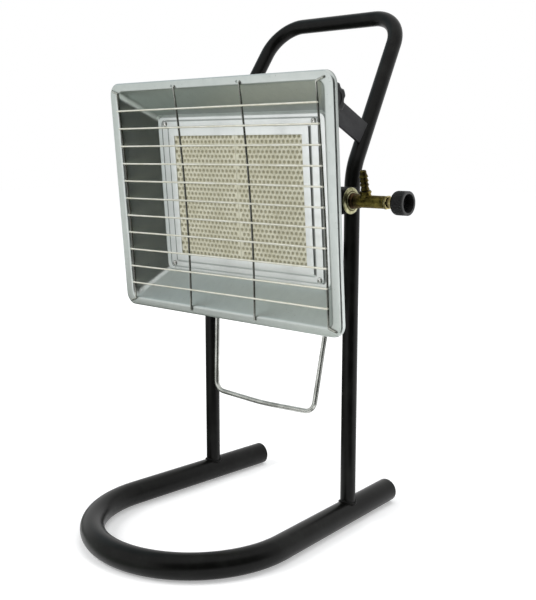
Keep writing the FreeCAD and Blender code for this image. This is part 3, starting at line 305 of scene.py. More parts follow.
FINISH = {"burner_ceramic": burner_plate(), "gasket_fibre": gasket_fibre()}
for make, finish, first, second, *settings in (
        (powder_coat, "stand_paint", (9, 9, 8), (22, 23, 21), 0.22),
        (powder_coat, "bracket_paint", (5, 5, 5), (12, 12, 11), 0.6),
        (powder_coat, "strap_paint", (52, 52, 53), (66, 66, 67), 0.5),
        (moulded_plastic, "black_plastic", (11, 11, 12), (22, 22, 22), 0.4),
        (galvanised, "reflector_sheet", (212, 217, 214), (192, 199, 196), 0.29),
        (galvanised, "frame_sheet", (241, 244, 243), (228, 232, 231), 0.28, 260, 0.1),
        (galvanised, "burner_sheet", (205, 208, 204), (172, 176, 172), 0.32),
        (drawn_wire, "guard_steel", (246, 244, 233), (230, 227, 210), 0.24, 0.72),
        (drawn_wire, "upright_steel", (196, 197, 190), (146, 148, 140), 0.1),
        (drawn_wire, "bail_steel", (198, 199, 194), (150, 151, 146), 0.12),
        (drawn_wire, "fastener_steel", (224, 225, 222), (184, 184, 180), 0.1),
        (old_brass, "valve_brass", (138, 124, 64), (64, 56, 25), 0.26),
        (old_brass, "nut_brass", (222, 208, 150), (150, 136, 76), 0.2),
        (old_brass, "collar_bronze", (112, 88, 62), (66, 51, 37), 0.36),
        (old_brass, "washer_plated", (190, 188, 150), (118, 117, 84), 0.18)):
    FINISH[finish] = make(finish, colour(*first), colour(*second), *settings)

FINISHED_NODES = {
    "stand_paint": ("base_tube", "upright_hoop", "post_welds"),
    "bracket_paint": ("injector_bracket",),
    "strap_paint": ("strap_left", "strap_right"),
    "black_plastic": ("base_end_plugs", "valve_knob", "clamp_knob_left", "clamp_knob_right"),
    "reflector_sheet": ("reflector",),
    "frame_sheet": ("tile_frame",),
    "burner_sheet": ("burner_box", "baffle_tray", "mixing_tube", "ear_left", "ear_right", "bail_lug_left",
                     "bail_lug_right"),
    "burner_ceramic": ("ceramic_tile_left", "ceramic_tile_right"),
    "gasket_fibre": ("tile_gasket",),
    "guard_steel": ("guard_cross_wires",),
    "upright_steel": ("guard_upright_wires",),
    "bail_steel": ("bail",),
    "fastener_steel": ("tile_frame_screws", "bracket_rivets", "ear_rivets", "clamp_bolt_left",
                       "clamp_bolt_right", "clamp_spacer_left", "clamp_spacer_right", "clamp_washer_left",
                       "clamp_washer_right"),
    "valve_brass": ("valve_body", "hose_barb", "valve_spindle"),
    "nut_brass": ("packing_nut", "injector_nozzle"),
    "collar_bronze": ("valve_collar",),
    "washer_plated": ("valve_washer",),
}
NODE_FINISH = {node_name: finish for finish, names in FINISHED_NODES.items() for node_name in names}

# finishes listed with another finish, whose name is passed as their slot
SLOT_OF = {"strap_paint": "stand_paint", "bracket_paint": "stand_paint", "upright_steel": "guard_steel",
           "nut_brass": "valve_brass"}

for node_name, finish in NODE_FINISH.items():
    mesh = NODES[node_name].data
    mesh.materials.clear()
    mesh.materials.append(FINISH[finish])


# Camera and studio

def add_camera():
    """The photograph's view of the heater."""
    lens = bpy.data.cameras.new("photo_camera")
    lens.lens = 55.53
    lens.sensor_width = 36
    camera = bpy.data.objects.new("photo_camera", lens)
    camera.location = (0.68192, -0.77722, 0.40728)
    camera.rotation_euler = (math.radians(80.6), 0, math.radians(41.8))
    SCENE.collection.objects.link(camera)
    SCENE.camera = camera


def add_lamp(name, spot, aim, wide, high, watts):
    """Softbox that lights the heater and isn't mirrored in it."""
    lamp = bpy.data.lights.new(name, "AREA")
    lamp.shape = "RECTANGLE"
    lamp.size, lamp.size_y = wide, high
    lamp.energy = watts
    made = bpy.data.objects.new(name, lamp)
    made.location = spot
    made.rotation_euler = (Vector(aim) - Vector(spot)).to_track_quat("-Z", "Y").to_euler()
    made.visible_glossy = False
    SCENE.collection.objects.link(made)


def stage_plane(name, wide, deep, surface):
    """Flat sheet of the studio; surface adds its shader to the graph that it is given."""
    material = bpy.data.materials.new(name)
    material.use_nodes = True
    graph = Graph(material.node_tree)
    graph.tree.nodes.clear()
    graph.node("ShaderNodeOutputMaterial", None, {"Surface": surface(graph)})
    mesh = bpy.data.meshes.new(name)
    x, y = wide / 2, deep / 2
    mesh.from_pydata([(-x, -y, 0), (x, -y, 0), (x, y, 0), (-x, y, 0)], [], [(0, 1, 2, 3)])
    mesh.materials.append(material)
    made = bpy.data.objects.new(name, mesh)
    SCENE.collection.objects.link(made)
    return made


def seen_rays(graph):
    """1 for camera, mirror and glass rays."""
    path = graph.node("ShaderNodeLightPath")
    both = path.math("MAXIMUM", path.out("Is Camera Ray"), path.out("Is Glossy Ray"))
    return path.math("MAXIMUM", both, path.out("Is Transmission Ray"))


def white_paper(graph):
    """Paper that keeps the heater's shadow and glows a little away from it."""
    paper = graph.node("ShaderNodeBsdfDiffuse", None, {"Color": (0.86, 0.86, 0.86, 1)})
    spot = graph.node("ShaderNodeTexCoord").out("Object")
    away = graph.node("ShaderNodeVectorMath", {"operation": "LENGTH"}, {0: spot}).out("Value")
    glow = graph.node("ShaderNodeEmission", None, {
        "Color": (1, 1, 1, 1), "Strength": 0.3 + 0.36 * away.sharper(0.35, 1.3)})
    both = graph.node("ShaderNodeAddShader", None, {0: paper, 1: glow})
    return graph.node("ShaderNodeMixShader", None, {0: seen_rays(graph), 1: paper, 2: both})


def add_floor():
    """White sweep under the heater."""
    floor = stage_plane("floor", 14, 14, white_paper)


def add_card(name, spot, aim, wide, high, level):
    """Toned card that only mirror reflections see, for contrast in the sheet metal."""
    card = stage_plane(name, wide, high, lambda graph: graph.node(
        "ShaderNodeEmission", None, {"Color": (*level, 1), "Strength": 1.0}))
    card.location = spot
    card.rotation_euler = (Vector(aim) - Vector(spot)).to_track_quat("Z", "Y").to_euler()
    card.visible_camera = False
    card.visible_diffuse = False
    card.visible_shadow = False


def add_world():
    """White to the eye and to mirrors, and a dimmer fill light."""
    world = bpy.data.worlds.new("studio")
    world.use_nodes = True
    graph = Graph(world.node_tree)
    graph.tree.nodes.clear()
    white = graph.node("ShaderNodeBackground", None, {"Color": (1, 1, 1, 1), "Strength": 1.0})
    fill = graph.node("ShaderNodeBackground", None, {"Color": (0.96, 0.98, 1, 1), "Strength": 0.42})
    both = graph.node("ShaderNodeMixShader", None, {0: seen_rays(graph), 1: fill, 2: white})
    graph.node("ShaderNodeOutputWorld", None, {"Surface": both})
    SCENE.world = world
    SCENE.view_settings.view_transform = "Standard"


add_camera()
add_world()
add_floor()
add_lamp("key_softbox", (-0.9, -1.5, 1.7), (0, -0.05, 0.3), 1.2, 1.0, 24)
add_lamp("top_softbox", (0.3, 0.2, 2.1), (0, 0, 0.3), 1.4, 1.4, 20)
add_lamp("side_softbox", (1.9, -0.2, 0.9), (0.1, 0, 0.35), 0.6, 1.4, 10)
add_card("camera_side_card", (1.10, -0.75, 0.50), (-0.13, -0.08, 0.35), 3.0, 1.8, (0.02, 0.025, 0.021))
add_card("right_floor_card", (1.0, -0.75, 0.003), (1.0, -0.75, 1.0), 1.5, 1.5, (0.05, 0.055, 0.05))
add_card("left_floor_card", (-0.75, 0.05, 0.003), (-0.75, 0.05, 1.0), 1.2, 1.1, (0.11, 0.13, 0.11))
add_card("front_floor_card", (-0.72, -0.85, 0.004), (-0.72, -0.85, 1.0), 0.8, 0.75, (0.54, 0.54, 0.52))
add_card("near_floor_card", (-0.03, -0.46, 0.004), (-0.03, -0.46, 1.0), 0.5, 0.4, (0.6, 0.65, 0.6))
add_card("left_front_card", (-1.38, -0.79, 0.40), (-0.13, -0.09, 0.36), 0.9, 1.2, (0.74, 0.77, 0.75))
add_card("ceiling_card", (-0.95, -0.1, 1.25), (0, -0.08, 0.25), 1.2, 1.2, (0.56, 0.65, 0.68))


# Mesh helpers

def rounded_loop(half_width, half_height, radius, steps=8):
    """Corner points of a rounded rectangle, anticlockwise from its right side."""
    points = []
    for quarter in range(4):
        across = half_width - radius
        up = half_height - radius
        side_x = 1 if quarter in (0, 3) else -1
        side_z = 1 if quarter in (0, 1) else -1
        for step in range(steps + 1):
            angle = math.radians(90 * (quarter + step / steps))
            points.append((side_x * across + radius * math.cos(angle),
                           side_z * up + radius * math.sin(angle)))
    return points


def towards(here, there, length):
    """Station that lies a length along the run from here to there."""
    share = length / math.dist(here, there)
    return [a + share * (b - a) for a, b in zip(here, there)]


def rounded_profile(stations, trims, steps=6):
    """Stations joined by straight runs, each inner one rounded over its trim length."""
    made = [stations[0]]
    for before, here, after, trim in zip(stations, stations[1:], stations[2:], trims):
        enter, leave = towards(here, before, trim), towards(here, after, trim)
        for step in range(steps + 1):
            t = step / steps
            made.append([(1 - t) ** 2 * a + 2 * t * (1 - t) * b + t ** 2 * c
                         for a, b, c in zip(enter, here, leave)])
    made.append(stations[-1])
    return made


# width across flats that leaves a turned station round
ROUND = 999.0


def round_stations(*stations):
    """Places along the axis and radii, as stations without flats."""
    return [(along, radius, ROUND) for along, radius in stations]


def ring_round(along, sides, reach):
    """Points round the local X axis; reach gives the radius at an angle."""
    points = []
    for side in range(sides):
        angle = 2 * math.pi * side / sides
        radius = reach(angle)
        points.append((along, radius * math.cos(angle), radius * math.sin(angle)))
    return points


def hexagon_reach(angle, radius, flats):
    """Radius of a round bar with six flats, at an angle."""
    corner = math.radians(math.degrees(angle) % 60 - 30)
    return min(radius, flats / 2 / math.cos(corner))


def turned(stations, sides=48):
    """Rings round the local X axis; stations are the place along it, the radius and the flats' width."""
    return [ring_round(along, sides, lambda angle: hexagon_reach(angle, radius, flats))
            for along, radius, flats in stations]


def skin(rings, cap_first=False, cap_last=False, closed_rows=False, shape=None):
    """Quads between closed rings of equal count."""
    shape = shape or bmesh.new()
    rows = [[shape.verts.new(point) for point in ring] for ring in rings]
    pairs = list(zip(rows, rows[1:]))
    if closed_rows:
        pairs.append((rows[-1], rows[0]))
    for row, following in pairs:
        count = len(row)
        for index in range(count):
            after = (index + 1) % count
            shape.faces.new((row[index], row[after], following[after], following[index]))
    if cap_first:
        shape.faces.new(list(reversed(rows[0])))
    if cap_last:
        shape.faces.new(rows[-1])
    return shape


def tone_rings(shape, attribute, tones, count):
    """Give every point of a ring, in the order they were made, that ring's tone."""
    held = shape.verts.layers.float.new(attribute)
    for index, vert in enumerate(shape.verts):
        vert[held] = tones[index // count]


def to_mesh(name, shape):
    """Mesh of a bmesh that isn't needed any more."""
    mesh = bpy.data.meshes.new(name)
    shape.to_mesh(mesh)
    shape.free()
    return mesh


def finished(name, shape, place, finish, sharp=35, outward=True):
    """Turn a bmesh into a dressed mesh at its place."""
    bmesh.ops.remove_doubles(shape, verts=shape.verts, dist=1e-5)
    if outward:
        bmesh.ops.recalc_face_normals(shape, faces=shape.faces)
    mesh = to_mesh(name, shape)
    mesh.transform(place)
    dress(mesh, finish, sharp)
    return mesh


def dress(mesh, finish, sharp=35):
    """Give a mesh its finish, smooth faces and sharp edges by angle."""
    mesh.materials.clear()
    mesh.materials.append(FINISH[finish])
    mesh.shade_smooth()
    mesh.set_sharp_from_angle(angle=math.radians(sharp))


def add_piece(mesh, body, slot, *nodes):
    """Object of the mesh's own name that rides a body and stands for the nodes."""
    piece = bpy.data.objects.new(mesh.name, mesh)
    SCENE.collection.objects.link(piece)
    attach(piece, body)
    if nodes:
        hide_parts(*nodes)


def body_of(node_name):
    """Body that carries a node."""
    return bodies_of(NODES[node_name])[0]


def evaluated(mesh, name, modifiers):
    """Mesh with its modifiers worked in; each is a kind, its settings and its tree inputs."""
    carrier = bpy.data.objects.new(name, mesh)
    SCENE.collection.objects.link(carrier)
    for kind, settings, inputs in modifiers:
        modifier = carrier.modifiers.new(kind.lower(), kind)
        for key, setting in settings.items():
            setattr(modifier, key, setting)
        for socket, given in inputs.items():
            modifier[socket_id(modifier.node_group, socket)] = given
    bpy.context.view_layer.update()
    found = carrier.evaluated_get(bpy.context.evaluated_depsgraph_get())
    made = bpy.data.meshes.new_from_object(found)
    made.name = name
    carrier.modifiers.clear()
    bpy.data.objects.remove(carrier)
    return made


def cut_by(bit):
    """Modifier that takes another object's shape away."""
    return "BOOLEAN", {"operation": "DIFFERENCE", "solver": "EXACT", "object": bit}, {}


def template(mesh):
    """Object that only modifiers read."""
    made = bpy.data.objects.new(mesh.name, mesh)
    SCENE.collection.objects.link(made)
    return made


def socket_id(tree, name):
    """Identifier of a tree's named input."""
    return next(item.identifier for item in tree.interface.items_tree
                if item.item_type == "SOCKET" and item.in_out == "INPUT" and item.name == name)


# Geometry trees

def new_tree(name, **inputs):
    """Empty tree with geometry in and out, and inputs by name and kind."""
    tree = bpy.data.node_groups.new(name, "GeometryNodeTree")
    tree.interface.new_socket("Geometry", in_out="INPUT", socket_type="NodeSocketGeometry")
    for label, kind in inputs.items():
        tree.interface.new_socket(label.replace("_", " "), in_out="INPUT", socket_type=f"NodeSocket{kind}")
    tree.interface.new_socket("Geometry", in_out="OUTPUT", socket_type="NodeSocketGeometry")
    graph = Graph(tree)
    return graph, graph.node("NodeGroupInput")


def close_tree(graph, made, given):
    """Every tree ends in plain geometry with its material set."""
    real = graph.node("GeometryNodeRealizeInstances", None, {"Geometry": made})
    painted = graph.node("GeometryNodeSetMaterial", None, {"Geometry": real, "Material": given.out("Finish")})
    graph.node("NodeGroupOutput", None, {"Geometry": painted})
    return graph.tree


def joined(graph, *parts):
    """Geometry of all parts together."""
    both = graph.node("GeometryNodeJoinGeometry")
    for part in parts:
        graph.feed(both.made.inputs[0], part)
    return both


def grown(mesh, name, tree, finish, **inputs):
    """Mesh that a tree makes from this one."""
    given = {label.replace("_", " "): setting for label, setting in inputs.items()}
    given["Finish"] = FINISH[finish]
    return evaluated(mesh, name, [("NODES", {"node_group": tree}, given)])


def rod_tree():
    """Round bar along the edges of a polyline whose points carry their bend radius."""
    graph, given = new_tree("bent_rod", Radius="Float", Sides="Int", Bend_steps="Int", Finish="Material")
    line = graph.node("GeometryNodeMeshToCurve", None, {"Mesh": given.out("Geometry")})
    bend = graph.node("GeometryNodeInputNamedAttribute", {"data_type": "FLOAT"}, {"Name": "bend"})
    bent = graph.node("GeometryNodeFilletCurve", {"mode": "POLY"},
                      {"Curve": line, "Radius": bend, "Count": given.out("Bend steps")})
    ring = graph.node("GeometryNodeCurvePrimitiveCircle", None,
                      {"Resolution": given.out("Sides"), "Radius": given.out("Radius")})
    rod = graph.node("GeometryNodeCurveToMesh", None,
                     {"Curve": bent, "Profile Curve": ring, "Fill Caps": True})
    return close_tree(graph, rod, given)


ROD_TREE = rod_tree()


def bent_rod(name, lines, place, radius, finish, sides=24, steps=20):
    """Round bars in the local frame, in mm: each line is a list of (point, bend radius)."""
    mesh = bpy.data.meshes.new(f"{name}_line")
    points, edges, bends = [], [], []
    for line in lines:
        first = len(points)
        points += [spot for spot, bend in line]
        bends += [bend for spot, bend in line]
        edges += [(index, index + 1) for index in range(first, len(points) - 1)]
    mesh.from_pydata(points, edges, [])
    held = mesh.attributes.new("bend", "FLOAT", "POINT")
    held.data.foreach_set("value", bends)
    made = grown(mesh, name, ROD_TREE, finish, Radius=radius, Sides=sides, Bend_steps=steps)
    made.transform(place)
    dress(made, finish, 50)
    return made


def mirrored(line):
    """The left half of a rod's line, from its right half."""
    return [((-x, y, z), bend) for (x, y, z), bend in reversed(line)]


# The stand

TUBE_RADIUS = 13.0
POST_X = 104.0
ARC_FORWARD = 126.5
LEG_LEAN = math.radians(3.5)
LEG_REAR = 80.5
LEG_END = POST_X - LEG_REAR * math.tan(LEG_LEAN)


def make_base_tube():
    """Floor tube: two converging legs whose front corners are one wide arc."""
    radius = (POST_X + ARC_FORWARD * math.tan(LEG_LEAN)) * math.cos(LEG_LEAN)
    front = -ARC_FORWARD - radius
    corner = POST_X - front * math.tan(LEG_LEAN)
    right = [((LEG_END, LEG_REAR, TUBE_RADIUS), 0), ((corner, front, TUBE_RADIUS), radius)]
    line = right + mirrored(right)
    mesh = bent_rod("base_tube_bent", [line], TO_METRES, TUBE_RADIUS, "stand_paint", 56, 40)
    add_piece(mesh, "stand", "stand_paint", "base_tube")


POST_RADIUS, POST_FOOT = 8.25, TUBE_RADIUS + 4
BEND_HEIGHT, BEND_RADIUS = 382.0, 58
HANDLE_HEIGHT, HANDLE_CORNER = 549.2, 40
HOOP_LEAN = math.radians(32.7)
HOOP_INWARD = math.radians(4.2)


def make_hoop():
    """Posts that bend back and join in the handle."""
    rise = HANDLE_HEIGHT - BEND_HEIGHT
    inward = rise / math.cos(HOOP_LEAN) * math.tan(HOOP_INWARD)
    top = (POST_X - inward, rise * math.tan(HOOP_LEAN), HANDLE_HEIGHT)
    right = [((POST_X, 0, POST_FOOT), 0), ((POST_X, 0, BEND_HEIGHT), BEND_RADIUS), (top, HANDLE_CORNER)]
    line = right + mirrored(right)
    mesh = bent_rod("hoop_bent", [line], TO_METRES, POST_RADIUS, "stand_paint", 40, 18)
    add_piece(mesh, "stand", "stand_paint", "upright_hoop")


make_base_tube()
make_hoop()


# The reflector and the ceramic's frame

GUARD_HALF, GUARD_MIDDLE = 142.0, (-49.3, 45.3)
GUARD_TURN, GUARD_SHEAR = math.radians(-0.29), -0.0112
GUARD = (FACE @ Matrix.Translation((-1, 0, -0.6)) @ Matrix.Rotation(GUARD_TURN, 4, "Y")
         @ Matrix.Shear("XY", 4, (GUARD_SHEAR, 0)))
UPRIGHT_RADIUS, CROSS_RADIUS = 1.1, 1.0
UPRIGHT_BACK = -33.75
CROSS_BACK = UPRIGHT_BACK - UPRIGHT_RADIUS - CROSS_RADIUS
GUARD_PITCH, GUARD_ROWS = 19.4, 11
MIDDLE_HOOK_UP = 119.95
CORNER_HOOK, CORNER_TURN_UP = (150.8, 119.2), 116.4


def hook_spots():
    """Where the guard's wires enter the flange, in the face frame: the top middle ones first."""
    into_face = FACE.inverted() @ GUARD
    spots = [(x, end * MIDDLE_HOOK_UP) for end in (1, -1) for x in GUARD_MIDDLE]
    spots += [(side * CORNER_HOOK[0], end * CORNER_HOOK[1]) for side in (1, -1) for end in (1, -1)]
    return [into_face @ Vector((x, UPRIGHT_BACK, z)) for x, z in spots]


def pressed_ring(name, stations, trims, gauge, finish, corner_steps, sharp=40, drill=None, tint=None):
    """Sheet pressed round a rounded rectangle: half width, half height, corner, back, painted shade."""
    rings, shade_and_darkening = [], []
    # each station's last column is its painted shade, carried to its ring
    for half_width, half_height, radius, back, station_shade in rounded_profile(stations, trims):
        loop = rounded_loop(half_width, half_height, radius, corner_steps)
        rings.append([(x, back, z) for x, z in loop])
        shade_and_darkening.append(station_shade)
    shape = skin(rings)
    tone_rings(shape, "fold_grime", shade_and_darkening, len(rings[0]))
    if tint:
        held = shape.verts.layers.float["fold_grime"]
        for vert in shape.verts:
            vert[held] = tint(vert.co, vert[held])
    for face in shape.faces:
        face.normal_flip()
    mesh = finished(f"{name}_front", shape, IN_PLACE, finish, sharp, outward=False)
    modifiers = [("SOLIDIFY", {"thickness": gauge, "offset": -1.0}, {})]
    if drill:
        modifiers.append(cut_by(drill))
    made = evaluated(mesh, name, modifiers)
    made.transform(FACE)
    dress(made, finish, sharp)
    return made


HOOK_HOLE, DRILL_SIDES = 1.5, 12
DRILL_FRONT, DRILL_END = -36.0, -31.9
SPARE_HOLE_OFF = (-3.9, 0.4)
WALL_FOOT_UP, WALL_FOOT_BACK, WALL_RISE = 89.0, 1.2, 0.8
WALL_FRONT, WALL_BACK, WALL_MARGIN = -30.5, 1.0, 3.5
TOP_WALL_DARKER = 0.55
FRAME_MITRE, SHORT_FOLD_SHARE = 27.5, 0.25


def darker_top_wall(spot, shade_and_darkening):
    """The wall above the burner is darker."""
    wall = WALL_FOOT_UP + (WALL_FOOT_BACK - spot.y) * WALL_RISE
    on_wall = WALL_FRONT < spot.y < WALL_BACK and spot.z > wall - WALL_MARGIN
    return TOP_WALL_DARKER if on_wall else shade_and_darkening


def less_shade_in_end_folds(spot, shade_and_darkening):
    """The painted shade in the frame's upper and lower folds is a share of that in its side folds."""
    return SHORT_FOLD_SHARE * shade_and_darkening if abs(spot.x) - abs(spot.z) < FRAME_MITRE else shade_and_darkening


def make_reflector():
    """Tray with sloping walls, rounded folds, a drilled front flange and a return lip."""
    # the last column is painted shade; only the fold at the floor carries some
    stations = [(94.0, 68.0, 1.5, 3.0, 0.0), (119.5, 86.0, 6.2, 3.0, 0.0), (121.0, 87.5, 7.0, 3.0, 0.4),
                (122.3, 89.0, 7.3, 1.2, 0.0), (147.0, 116.75, 8.0, -32.65, 0.0),
                (158.8, 125.75, 13.0, -32.65, 0.0), (158.8, 125.75, 13.0, -27.65, 0.0)]
    spots = [(x, z) for x, y, z in hook_spots()]
    spots += [(x + SPARE_HOLE_OFF[0], z + SPARE_HOLE_OFF[1]) for x, z in spots[:2]]
    shape = bmesh.new()
    for x, z in spots:
        rings = turned(round_stations((DRILL_FRONT, HOOK_HOLE), (DRILL_END, HOOK_HOLE)), DRILL_SIDES)
        bit = [[(x + a, along, z + b) for along, a, b in ring] for ring in rings]
        skin(bit, True, True, shape=shape)
    # the hook holes are painted dark as shade
    tone_rings(shape, "fold_grime", [1.0] * 2 * len(spots), DRILL_SIDES)
    drill = template(finished("hook_drill", shape, IN_PLACE, "reflector_sheet"))
    mesh = pressed_ring("reflector_pressed", stations, (0.4, 1.0, 0.8, 2.4, 3.0), 1.0, "reflector_sheet", 8,
                        drill=drill, tint=darker_top_wall)
    bpy.data.objects.remove(drill)
    add_piece(mesh, "head", "reflector_sheet", "reflector")


def make_tile_frame():
    """Frame round the ceramic, pressed in three steps."""
    # the last column is painted shade: under the inner lip, on the step walls and at the outer edge
    stations = [(92.0, 66.0, 0.8, -0.05, 1.0), (92.0, 66.0, 0.8, -1.0, 0.0), (100.6, 74.6, 2.6, -1.0, 0.0),
                (102.0, 76.0, 3.2, 0.3, 1.0), (102.9, 76.6, 3.2, 0.3, 1.0), (103.6, 77.0, 3.3, 0.3, 0.0),
                (111.6, 81.6, 4.6, 0.3, 0.0), (113.0, 83.0, 5.2, 1.6, 1.0), (113.9, 83.4, 5.3, 1.6, 1.0),
                (114.6, 83.8, 5.4, 1.6, 0.0), (119.4, 86.0, 6.6, 1.6, 0.0), (120.4, 86.9, 7.0, 2.95, 0.6)]
    trims = (0.5, 0.5, 0.3, 0.2, 0.2, 0.5, 0.3, 0.2, 0.2, 0.6)
    mesh = pressed_ring("tile_frame_pressed", stations, trims, 0.6, "frame_sheet", 6, tint=less_shade_in_end_folds)
    add_piece(mesh, "head", "frame_sheet", "tile_frame")


make_reflector()
make_tile_frame()


# The ceramic plates

PIT_PITCH, PIT_ROW = 5.8, 5.15
PIT_COLUMNS, PIT_ROWS = 16, 26
PIT_MOUTH, PIT_THROAT = 2.5, 1.45
PIT_BROW, PIT_SLOPE, PIT_DEPTH = 0.2, 1.0, 1.3
PIT_SQUASH, PIT_TAPER = min(1.0, PIT_ROW / PIT_PITCH + 0.05), 0.85
PLATE_INNER, PLATE_OUTER = 0.2, 93.5
PLATE_HALF, PLATE_BACK, PLATE_EDGE = 67.5, 13.0, 0.2


def pit_cell():
    """One cell of the plate's face: a ridge all round, a sloping mouth and a throat, painted darker with
    depth as shade.
    """
    half, rise = PIT_PITCH / 2, PIT_ROW / 2
    border = [(-half, -rise), (0, -rise), (half, -rise), (half, rise), (0, rise), (-half, rise)]
    rings = [[(x, 0.0, z) for x, z in border]]
    angles = [math.radians(60 * step - 150) for step in range(6)]
    for radius, back in ((PIT_MOUTH, PIT_BROW), (PIT_THROAT, PIT_SLOPE), (PIT_THROAT * PIT_TAPER, PIT_DEPTH)):
        rings.append([(radius * math.cos(a), back, radius * math.sin(a) * PIT_SQUASH) for a in angles])
    shape = skin(rings, cap_last=True)
    # painted shade: darker with depth from the mouth down to the throat
    depth = shape.verts.layers.float.new("pit_depth")
    for vert in shape.verts:
        vert[depth] = min(1.0, max(0.0, vert.co.y / PIT_SLOPE))
    return to_mesh("pit_cell", shape)


def plain_half_cell():
    """Flat filler at the ends of every other row."""
    mesh = bpy.data.meshes.new("plain_half_cell")
    half, rise = PIT_PITCH / 4, PIT_ROW / 2
    corners = [(-half, 0, -rise), (half, 0, -rise), (half, 0, rise), (-half, 0, rise)]
    mesh.from_pydata(corners, [], [(0, 1, 2, 3)])
    mesh.attributes.new("pit_depth", "FLOAT", "POINT")
    return mesh


def pit_tree():
    """Pits on a staggered lattice: every other row is half a pitch along and one pit short."""
    graph, given = new_tree("staggered_pits", Pitch="Float", Row="Float", Columns="Int", Rows="Int",
                            Cell="Object", Filler="Object", Finish="Material")
    columns, rows = given.out("Columns"), given.out("Rows")
    pitch, row = given.out("Pitch"), given.out("Row")
    grid = graph.node("GeometryNodeMeshGrid", None, {
        "Size X": pitch * (columns - 1), "Size Y": row * (rows - 1),
        "Vertices X": columns, "Vertices Y": rows})
    upright = graph.node("GeometryNodeTransform", None, {"Geometry": grid, "Rotation": (math.pi / 2, 0, 0)})
    index = graph.node("GeometryNodeInputIndex")
    odd = (index % rows) % 2
    column = index.math("FLOOR", index / rows)
    move = graph.node("ShaderNodeCombineXYZ", None, {"X": odd * pitch * 0.5})
    lattice = graph.node("GeometryNodeSetPosition", None, {"Geometry": upright, "Offset": move})
    last = graph.node("FunctionNodeCompare", {"data_type": "FLOAT", "operation": "GREATER_THAN"},
                      {0: column + odd, 1: columns - 0.5})
    pits = graph.node("GeometryNodeDeleteGeometry", {"domain": "POINT"},
                      {"Geometry": lattice, "Selection": last})
    cell = graph.node("GeometryNodeObjectInfo", None, {"Object": given.out("Cell")}).out("Geometry")
    dug = graph.node("GeometryNodeInstanceOnPoints", None, {"Points": pits, "Instance": cell})
    ends = graph.node("GeometryNodeMeshGrid", None, {
        "Size X": pitch * (columns - 0.5), "Size Y": row * (rows - 1), "Vertices X": 2, "Vertices Y": rows})
    stood = graph.node("GeometryNodeTransform", None, {"Geometry": ends, "Rotation": (math.pi / 2, 0, 0)})
    even = graph.node("FunctionNodeCompare", {"data_type": "FLOAT", "operation": "LESS_THAN"},
                      {0: odd, 1: 0.5})
    kept = graph.node("GeometryNodeDeleteGeometry", {"domain": "POINT"},
                      {"Geometry": stood, "Selection": even})
    filler = graph.node("GeometryNodeObjectInfo", None, {"Object": given.out("Filler")}).out("Geometry")
    filled = graph.node("GeometryNodeInstanceOnPoints", None, {"Points": kept, "Instance": filler})
    return close_tree(graph, joined(graph, dug, filled), given)


def plate_surround(shape, centre):
    """Plain margin, sides and back of one plate, joined to the border of its pits."""
    wide, high = PIT_PITCH * PIT_COLUMNS / 2, PIT_ROW * PIT_ROWS / 2
    across = [-wide + PIT_PITCH / 2 * step for step in range(2 * PIT_COLUMNS + 1)]
    up = [-high + PIT_ROW * step for step in range(PIT_ROWS + 1)]
    border = [(x, -high) for x in across] + [(wide, z) for z in up[1:]]
    border += [(x, high) for x in reversed(across[:-1])] + [(-wide, z) for z in reversed(up[1:-1])]
    low, far = PLATE_INNER - centre, PLATE_OUTER - centre

    def stretched(x, z, inset, back):
        left, right, top = low + inset, far - inset, PLATE_HALF - inset
        return (left + (x + wide) / (2 * wide) * (right - left), back, z / high * top)

    rings = [[(x, 0.0, z) for x, z in border]]
    for inset, back in ((PLATE_EDGE, 0.0), (0.0, PLATE_EDGE), (0.0, PLATE_BACK)):
        rings.append([stretched(x, z, inset, back) for x, z in border])
    skin(rings, cap_last=True, shape=shape)


def make_plates():
    """The two perforated burner plates."""
    cell, filler = template(pit_cell()), template(plain_half_cell())
    field = grown(bpy.data.meshes.new("pit_field"), "pit_field", pit_tree(), "burner_ceramic",
                  Pitch=PIT_PITCH, Row=PIT_ROW, Columns=PIT_COLUMNS, Rows=PIT_ROWS, Cell=cell, Filler=filler)
    centre = 0.5 * (PLATE_INNER + PLATE_OUTER)
    for hand, side in (("left", -1), ("right", 1)):
        shape = bmesh.new()
        shape.from_mesh(field)
        plate_surround(shape, centre)
        bmesh.ops.translate(shape, verts=shape.verts, vec=(centre, 0, 0))
        if side < 0:
            bmesh.ops.scale(shape, verts=shape.verts, vec=(-1, 1, 1))
        mesh = finished(f"burner_plate_{hand}", shape, FACE, "burner_ceramic", 25)
        add_piece(mesh, "head", "burner_ceramic", f"ceramic_tile_{hand}")
    for spent in (cell, filler):
        bpy.data.objects.remove(spent)


make_plates()


# The guard

BOW_AT_ENDS, BOW_MORE_AMID = 3.0, 2.6
BOW_REACH, BOW_STEP = 100, 20
UPRIGHT_PAINTED_REFLECTION, PAINTED_REFLECTION_REACH = 0.85, 101
HOOK_LENGTH, HOOK_BEND, CORNER_BEND = 4.0, 1.3, 3.0
WIRE_OVERHANG = 1.1
GUARD_WELD, WELD_SINK = 1.35, 0.55


